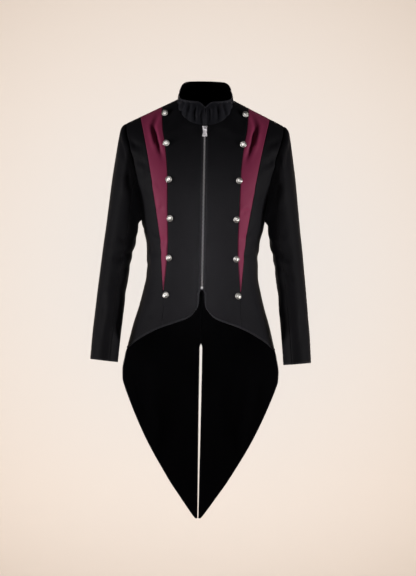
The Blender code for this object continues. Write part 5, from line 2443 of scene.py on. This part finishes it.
COLLAR_CREASES = (
    *folds(Face.FRONT,
        # the puckers of the two front ends
        (L, 1.2, 3.2, 0.6, 8, -24, 9, -44, 8, -66),
        (L, 1.0, 3.6, 0.6, 21, -18, 23, -40, 22, -64),
        (L, 1.5, 4.0, 0.6, 36, -14, 37, -30, 40, -52),
        (L, 1.1, 3.8, 0.6, 52, -8, 55, -24, 57, -40),
        (L, 0.9, 4.0, 0.6, 68, -2, 70, -14, 74, -26),
        (R, 1.0, 3.0, 0.6, 6, -28, 8, -46, 6, -68),
        (R, 1.3, 3.4, 0.6, 16, -20, 18, -40, 17, -66),
        (R, 1.1, 3.8, 0.6, 29, -16, 31, -36, 33, -60),
        (R, 1.6, 4.2, 0.6, 46, -10, 47, -28, 50, -48),
        (R, 1.0, 3.8, 0.6, 62, -4, 66, -16, 68, -32),
        # behind
        (L, 0.9, 5.0, 0.5, 104, 22, 112, 8, 124, -4),
        (R, 0.8, 5.0, 0.5, 98, 14, 108, 2, 116, -8),
        (R, 0.8, 6.0, 0.5, 140, 20, 152, 14, 166, 18),
        (L, 0.7, 6.0, 0.5, 136, 24, 150, 20, 170, 26),
    ),
)


# The studio

@dataclass(frozen=True)
class SoftLight:
    """One soft light: where it stands, where it aims, how large and how strong it is."""

    name: str
    spot: tuple[float, float, float]
    aim: tuple[float, float, float]
    size: tuple[float, float]
    watts: float
    spread: float = 180.0
    colour: Colour = (1.0, 0.97, 0.94)
    flagged_to: str = ""

    def build(self) -> None:
        """Adds the light to the scene, flagged off so that it reaches one group of pieces, if it is named."""
        data = bpy.data.lights.new(self.name, "AREA")
        data.shape = "RECTANGLE"
        data.size, data.size_y = self.size
        data.energy = self.watts
        data.color = self.colour
        data.spread = math.radians(self.spread)
        light = bpy.data.objects.new(self.name, data)
        light.location = self.spot
        light.rotation_euler = (Vector(self.aim) - Vector(self.spot)).to_track_quat("-Z", "Y").to_euler()
        if self.flagged_to:
            light.light_linking.receiver_collection = bpy.data.collections[self.flagged_to]
            light.light_linking.blocker_collection = bpy.data.collections[self.flagged_to]
        bpy.context.scene.collection.objects.link(light)


@dataclass(frozen=True)
class Studio:
    """The camera, the soft lights and a seamless pale sweep. Sizes are in metres."""

    pixel: float = 0.00265
    frame_pixels: tuple[int, int] = (416, 576)
    distance: float = 30.0
    middle: tuple[float, float] = (0.0159, -0.5035)
    roll: float = 1.05
    floor_z: float = -1.52
    wall_y: float = 1.3
    bend: float = 0.5
    half_wide: float = 6.0
    front_y: float = -1.6
    top_z: float = 4.0
    # The paper's colour, from pale at the middle to a brighter, warmer rim over these distances from a spot
    # just above the coat's middle: painted light falloff, which with the wall light shapes how the backdrop's
    # light falls off and warms towards its edges.
    pale: Colour = (0.46, 0.445, 0.435)
    rim: Colour = (0.80, 0.69, 0.60)
    rim_from: float = 0.15
    rim_to: float = 1.05
    rim_power: float = 1.4
    pale_above: float = 0.05
    air: float = 0.03
    air_colour: Colour = (0.95, 0.93, 0.91)
    sensor: float = 24.0
    clip_end: float = 100.0
    lights: tuple[SoftLight, ...] = (
        # name, where it stands, where it aims, size, watts, spread in degrees
        SoftLight("left_light", (-4.1, -1.33, -0.95), (0.0, 0.0, -0.62), (0.9, 1.2), 10.5, 50.0),
        SoftLight("right_light", (4.1, -1.33, -0.95), (0.0, 0.0, -0.62), (0.9, 1.2), 10.0, 50.0),
        SoftLight(
            "waist_light", (0.0, -4.0, -0.8), (0.0, 0.0, -0.46), (0.15, 0.5), 0.45, 7.8, flagged_to=BLACK,
        ),
        SoftLight(
            "wall_light", (0.0, -3.5, -0.1), (0.0, 1.3, -0.44), (1.0, 1.0), 18.0, 40.0, flagged_to=PAPER,
        ),
        SoftLight(
            "metal_light", (-0.5, -2.2, 0.35), (0.0, 0.0, -0.3), (2.0, 1.6), 50.0, flagged_to=METAL,
        ),
    )

    def build(self) -> None:
        """Builds the whole studio."""
        self.camera()
        bpy.data.collections.new(PAPER).objects.link(self.sweep())
        for group in (METAL, BLACK):
            bpy.data.collections.new(group)
        for light in self.lights:
            light.build()
        world = bpy.data.worlds.new("studio_air")
        world.use_nodes = True
        background = world.node_tree.nodes["Background"]
        background.inputs["Color"].default_value = (*self.air_colour, 1)
        background.inputs["Strength"].default_value = self.air
        bpy.context.scene.world = world
        bpy.context.scene.view_settings.view_transform = "Standard"

    def camera(self) -> None:
        """Adds the camera, level with the coat's middle and rolled as the photograph is."""
        data = bpy.data.cameras.new("camera")
        data.sensor_fit = "VERTICAL"
        data.sensor_height = self.sensor
        data.lens = self.sensor * self.distance / (self.frame_pixels[1] * self.pixel)
        data.clip_end = self.clip_end
        camera = bpy.data.objects.new("camera", data)
        upright = Matrix.Rotation(math.radians(90), 4, "X") @ Matrix.Rotation(math.radians(self.roll), 4, "Z")
        x, z = self.middle
        camera.matrix_world = Matrix.Translation((x, -self.distance, z)) @ upright
        bpy.context.scene.collection.objects.link(camera)
        bpy.context.scene.camera = camera

    def sweep(self) -> bpy.types.Object:
        """Adds the floor that bends up into the wall behind, its colour graded from the middle out as painted
        light falloff.

        Returns:
            The sheet.
        """
        turn = np.linspace(0, math.pi / 2, 16)
        bend_y = self.wall_y - self.bend + self.bend * np.sin(turn)
        bend_z = self.floor_z + self.bend * (1 - np.cos(turn))
        y = np.concatenate([[self.front_y], bend_y, [self.wall_y]])
        z = np.concatenate([[self.floor_z], bend_z, [self.top_z]])
        left = np.stack([np.full(len(y), -self.half_wide), y, z], axis=-1)
        points = np.concatenate([left, left * np.array([-1, 1, 1])])
        count = len(y)
        faces = [[k, k + count, k + count + 1, k + 1] for k in range(count - 1)]
        made, kit, shader = new_material("studio_paper")
        # Painted light falloff: the paper's colour is graded by distance from a spot behind the coat's
        # middle.
        spots = kit.tree.nodes.new("ShaderNodeTexCoord")
        middle = kit.add("ShaderNodeVectorMath", Vector=spots.outputs["Object"])
        middle.operation = "DISTANCE"
        middle.inputs[1].default_value = (self.middle[0], self.wall_y, self.middle[1] + self.pale_above)
        away = kit.span(middle.outputs["Value"], self.rim_from, self.rim_to, 0.0, 1.0)
        away = kit.math("POWER", away, self.rim_power)
        painted_falloff = kit.mix(away, (*self.pale, 1), (*self.rim, 1))
        kit.feed(shader.inputs["Base Color"], painted_falloff)
        shader.inputs["Roughness"].default_value = 0.9
        sheet = mesh_piece("studio_sweep", points / MM, faces, made)
        return sheet


@dataclass
class Tailcoat:
    """The whole coat: builds each sub-assembly and dresses it.

    The sizes named mm are the mm in a degree round each form, and those named fold its creases' strength.
    """

    groups: ShaderGroups = field(default_factory=ShaderGroups)
    form: BodyForm = field(default_factory=BodyForm)
    shell: Shell = field(default_factory=Shell)
    hip_fade: float = 10.0
    hem_stitch: float = 4.6
    seam_stitch: float = 1.7
    stitch_stop: float = 4.0
    body_mm: float = 2.6
    sleeve_mm: float = 1.05
    collar_mm: float = 1.22
    body_fold: float = 1.75
    sleeve_fold: float = 2.3
    collar_fold: float = 2.2

    def __post_init__(self) -> None:
        """Makes the finishes and the crease maps."""
        self.black = BLACK_CLOTH.material(self.groups)
        self.burgundy = BURGUNDY_CLOTH.material(self.groups)
        self.collar_cloth = COLLAR_CLOTH.material(self.groups)
        self.lining = LINING.material(self.groups)
        self.silver = SILVER.material(self.groups)
        self.zip_metal = ZIP_METAL.material(self.groups)
        self.body_creases = CreaseMap(BODY_CREASES, self.body_mm, self.form.angle_at, self.body_fold)
        self.cutter = PanelCutter(self.form, self.body_creases)
        self.black_stitches = Stitching("black_stitches", BLACK_THREAD.material(self.groups))
        self.red_stitches = Stitching("burgundy_stitches", BURGUNDY_THREAD.material(self.groups))

    def cloth(
        self, node: str, grid: Grid, side: Side, turns: Sequence[EdgeTurn],
        cloth: bpy.types.Material | None = None, slot: str = "black_cloth",
    ) -> None:
        """Builds one cloth piece and puts it in its node's place.

        Args:
            node: The node that it stands for.
            grid: Its outer points, on the wearer's left.
            side: The side that it is made for.
            turns: How each of its edges is turned.
            cloth: The face cloth, black if none is given.
            slot: The slot of that cloth.
        """
        piece = self.shell.build(node + "_cloth", grid, side, turns, cloth or self.black, self.lining)
        place(piece, slot, [node])
        CUTS[node.removesuffix("_" + side.word)].declare(piece, side)

    def stitches(self, thread: Stitching, grid: Grid, side: Side, away: float, edges: Sequence[Edge]) -> None:
        """Sews along some edges of a piece.

        Args:
            thread: The stitches that are added to.
            grid: The piece's outer points.
            side: The side that it is made for.
            away: How far beside the edges, in mm.
            edges: The edges.
        """
        for edge in edges:
            thread.sew(*grid.line_beside(edge, away), side)

    def fronts(self) -> Array:
        """Builds the fronts and insets.

        Returns:
            The armhole's front rows.
        """
        fronts = Fronts(self.cutter)
        centre, inset, side_front = fronts.centre_rows(), fronts.inset_rows(), fronts.side_rows()
        for side in Side:
            word = side.word
            grid = self.cutter.grid(centre, side)
            self.cloth("front_centre_" + word, grid, side, turned_edges(SEWN, HEM, SEWN, HEM))
            self.stitches(self.black_stitches, grid, side, self.hem_stitch, (Edge.BOTTOM, Edge.INNER))
            grid = self.cutter.grid(inset, side)
            seams = turned_edges(SEWN, SEWN, SEWN, SEWN)
            self.cloth("inset_" + word, grid, side, seams, self.burgundy, "burgundy_cloth")
            self.stitches(self.red_stitches, grid, side, self.seam_stitch, (Edge.INNER, Edge.OUTER))
            grid = self.cutter.grid(side_front, side)
            self.cloth("front_side_" + word, grid, side, turned_edges(SEWN, HEM, SEWN, SEWN))
            self.stitches(self.black_stitches, grid, side, self.hem_stitch, (Edge.BOTTOM,))
        return fronts.armhole()

    def backs(self) -> Array:
        """Builds the backs with their tails.

        Returns:
            The armhole's back rows.
        """
        backs = Backs(self.cutter)
        rows = backs.rows()
        z = rows[..., 1]
        in_vent = 1 - smooth(self.form.vent_top_z - self.hip_fade, self.form.vent_top_z, z)
        in_tail = 1 - smooth(self.form.side_hem_z - self.hip_fade, self.form.side_hem_z, z)
        for side in Side:
            grid = self.cutter.grid(rows, side)
            self.cloth("back_" + side.word, grid, side, (
                EdgeTurn(Edge.TOP, SEWN), EdgeTurn(Edge.BOTTOM, PLAIN_EDGE),
                EdgeTurn(Edge.OUTER, SEWN, 1 - in_tail), EdgeTurn(Edge.OUTER, HEM, in_tail),
                EdgeTurn(Edge.INNER, SEWN, 1 - in_vent), EdgeTurn(Edge.INNER, HEM, in_vent),
            ))
            for edge, top in ((Edge.OUTER, self.form.side_hem_z), (Edge.INNER, self.form.vent_top_z)):
                points, facings = grid.line_beside(edge, self.hem_stitch)
                below = points[:, 2] < top - self.stitch_stop
                self.black_stitches.sew(points[below], facings[below], side)
        return backs.armhole()

    def sleeves(self, front: Array, back: Array) -> None:
        """Builds the sleeves on the armhole's ring.

        Args:
            front: The armhole's front rows.
            back: Its back rows.
        """
        creases = CreaseMap(SLEEVE_CREASES, self.sleeve_mm, strength=self.sleeve_fold)
        sleeves = Sleeves(creases, ELBOW_FOLDS, self.cutter.side_x)
        for side in Side:
            edges = [self.cutter.grid(rows[:, None], side).points[:, 0] for rows in (front, back)]
            armhole = np.concatenate([edges[0], edges[1][-2:0:-1]])
            top, under = sleeves.grids(armhole, side)
            edge_turns = turned_edges(SEWN, TURNED_HEM, SEWN, SEWN)
            self.cloth("sleeve_top_" + side.word, top, side, edge_turns)
            self.cloth("sleeve_under_" + side.word, under, side, edge_turns)

    def collar(self) -> None:
        """Builds the collar."""
        creases = CreaseMap(COLLAR_CREASES, self.collar_mm, strength=self.collar_fold)
        grid = Collar(self.form, creases).grid()
        edge_turns = turned_edges(SEWN, HEM, HEM, HEM)
        self.cloth("collar", grid, Side.LEFT, edge_turns, self.collar_cloth, "collar_cloth")
        self.stitches(self.black_stitches, grid, Side.LEFT, self.hem_stitch, (Edge.BOTTOM,))

    def fastenings(self) -> None:
        """Builds the zip and the buttons."""
        zipper = Zip(self.form)
        tape = zipper.tape(ZIP_TAPE.material(self.groups))
        place(tape, "zip_tape", ["zip_tape"])
        CUTS["zip_tape"].declare(tape, Side.LEFT)
        place(zipper.teeth(self.zip_metal), "zip_metal")
        place(zipper.slider(self.zip_metal), "zip_metal", ["zip_slider"])
        place(zipper.pull(self.zip_metal), "zip_metal", ["zip_pull"], "zip_pull")
        place(zipper.stop(self.zip_metal), "zip_metal", ["zip_stop"])
        Buttons(self.form, self.body_creases).build(self.silver)

    def build(self) -> None:
        """Builds every sub-assembly in order."""
        front, back = self.fronts(), self.backs()
        self.sleeves(front, back)
        self.collar()
        self.fastenings()
        place(self.black_stitches.finish(), "black_cloth")
        place(self.red_stitches.finish(), "burgundy_cloth")


def main() -> None:
    """Loads the frame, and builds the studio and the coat."""
    logging.basicConfig(level=logging.INFO, format="%(name)s: %(message)s", stream=sys.stdout)
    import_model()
    Studio().build()
    Tailcoat().build()


if __name__ == "__main__":
    main()
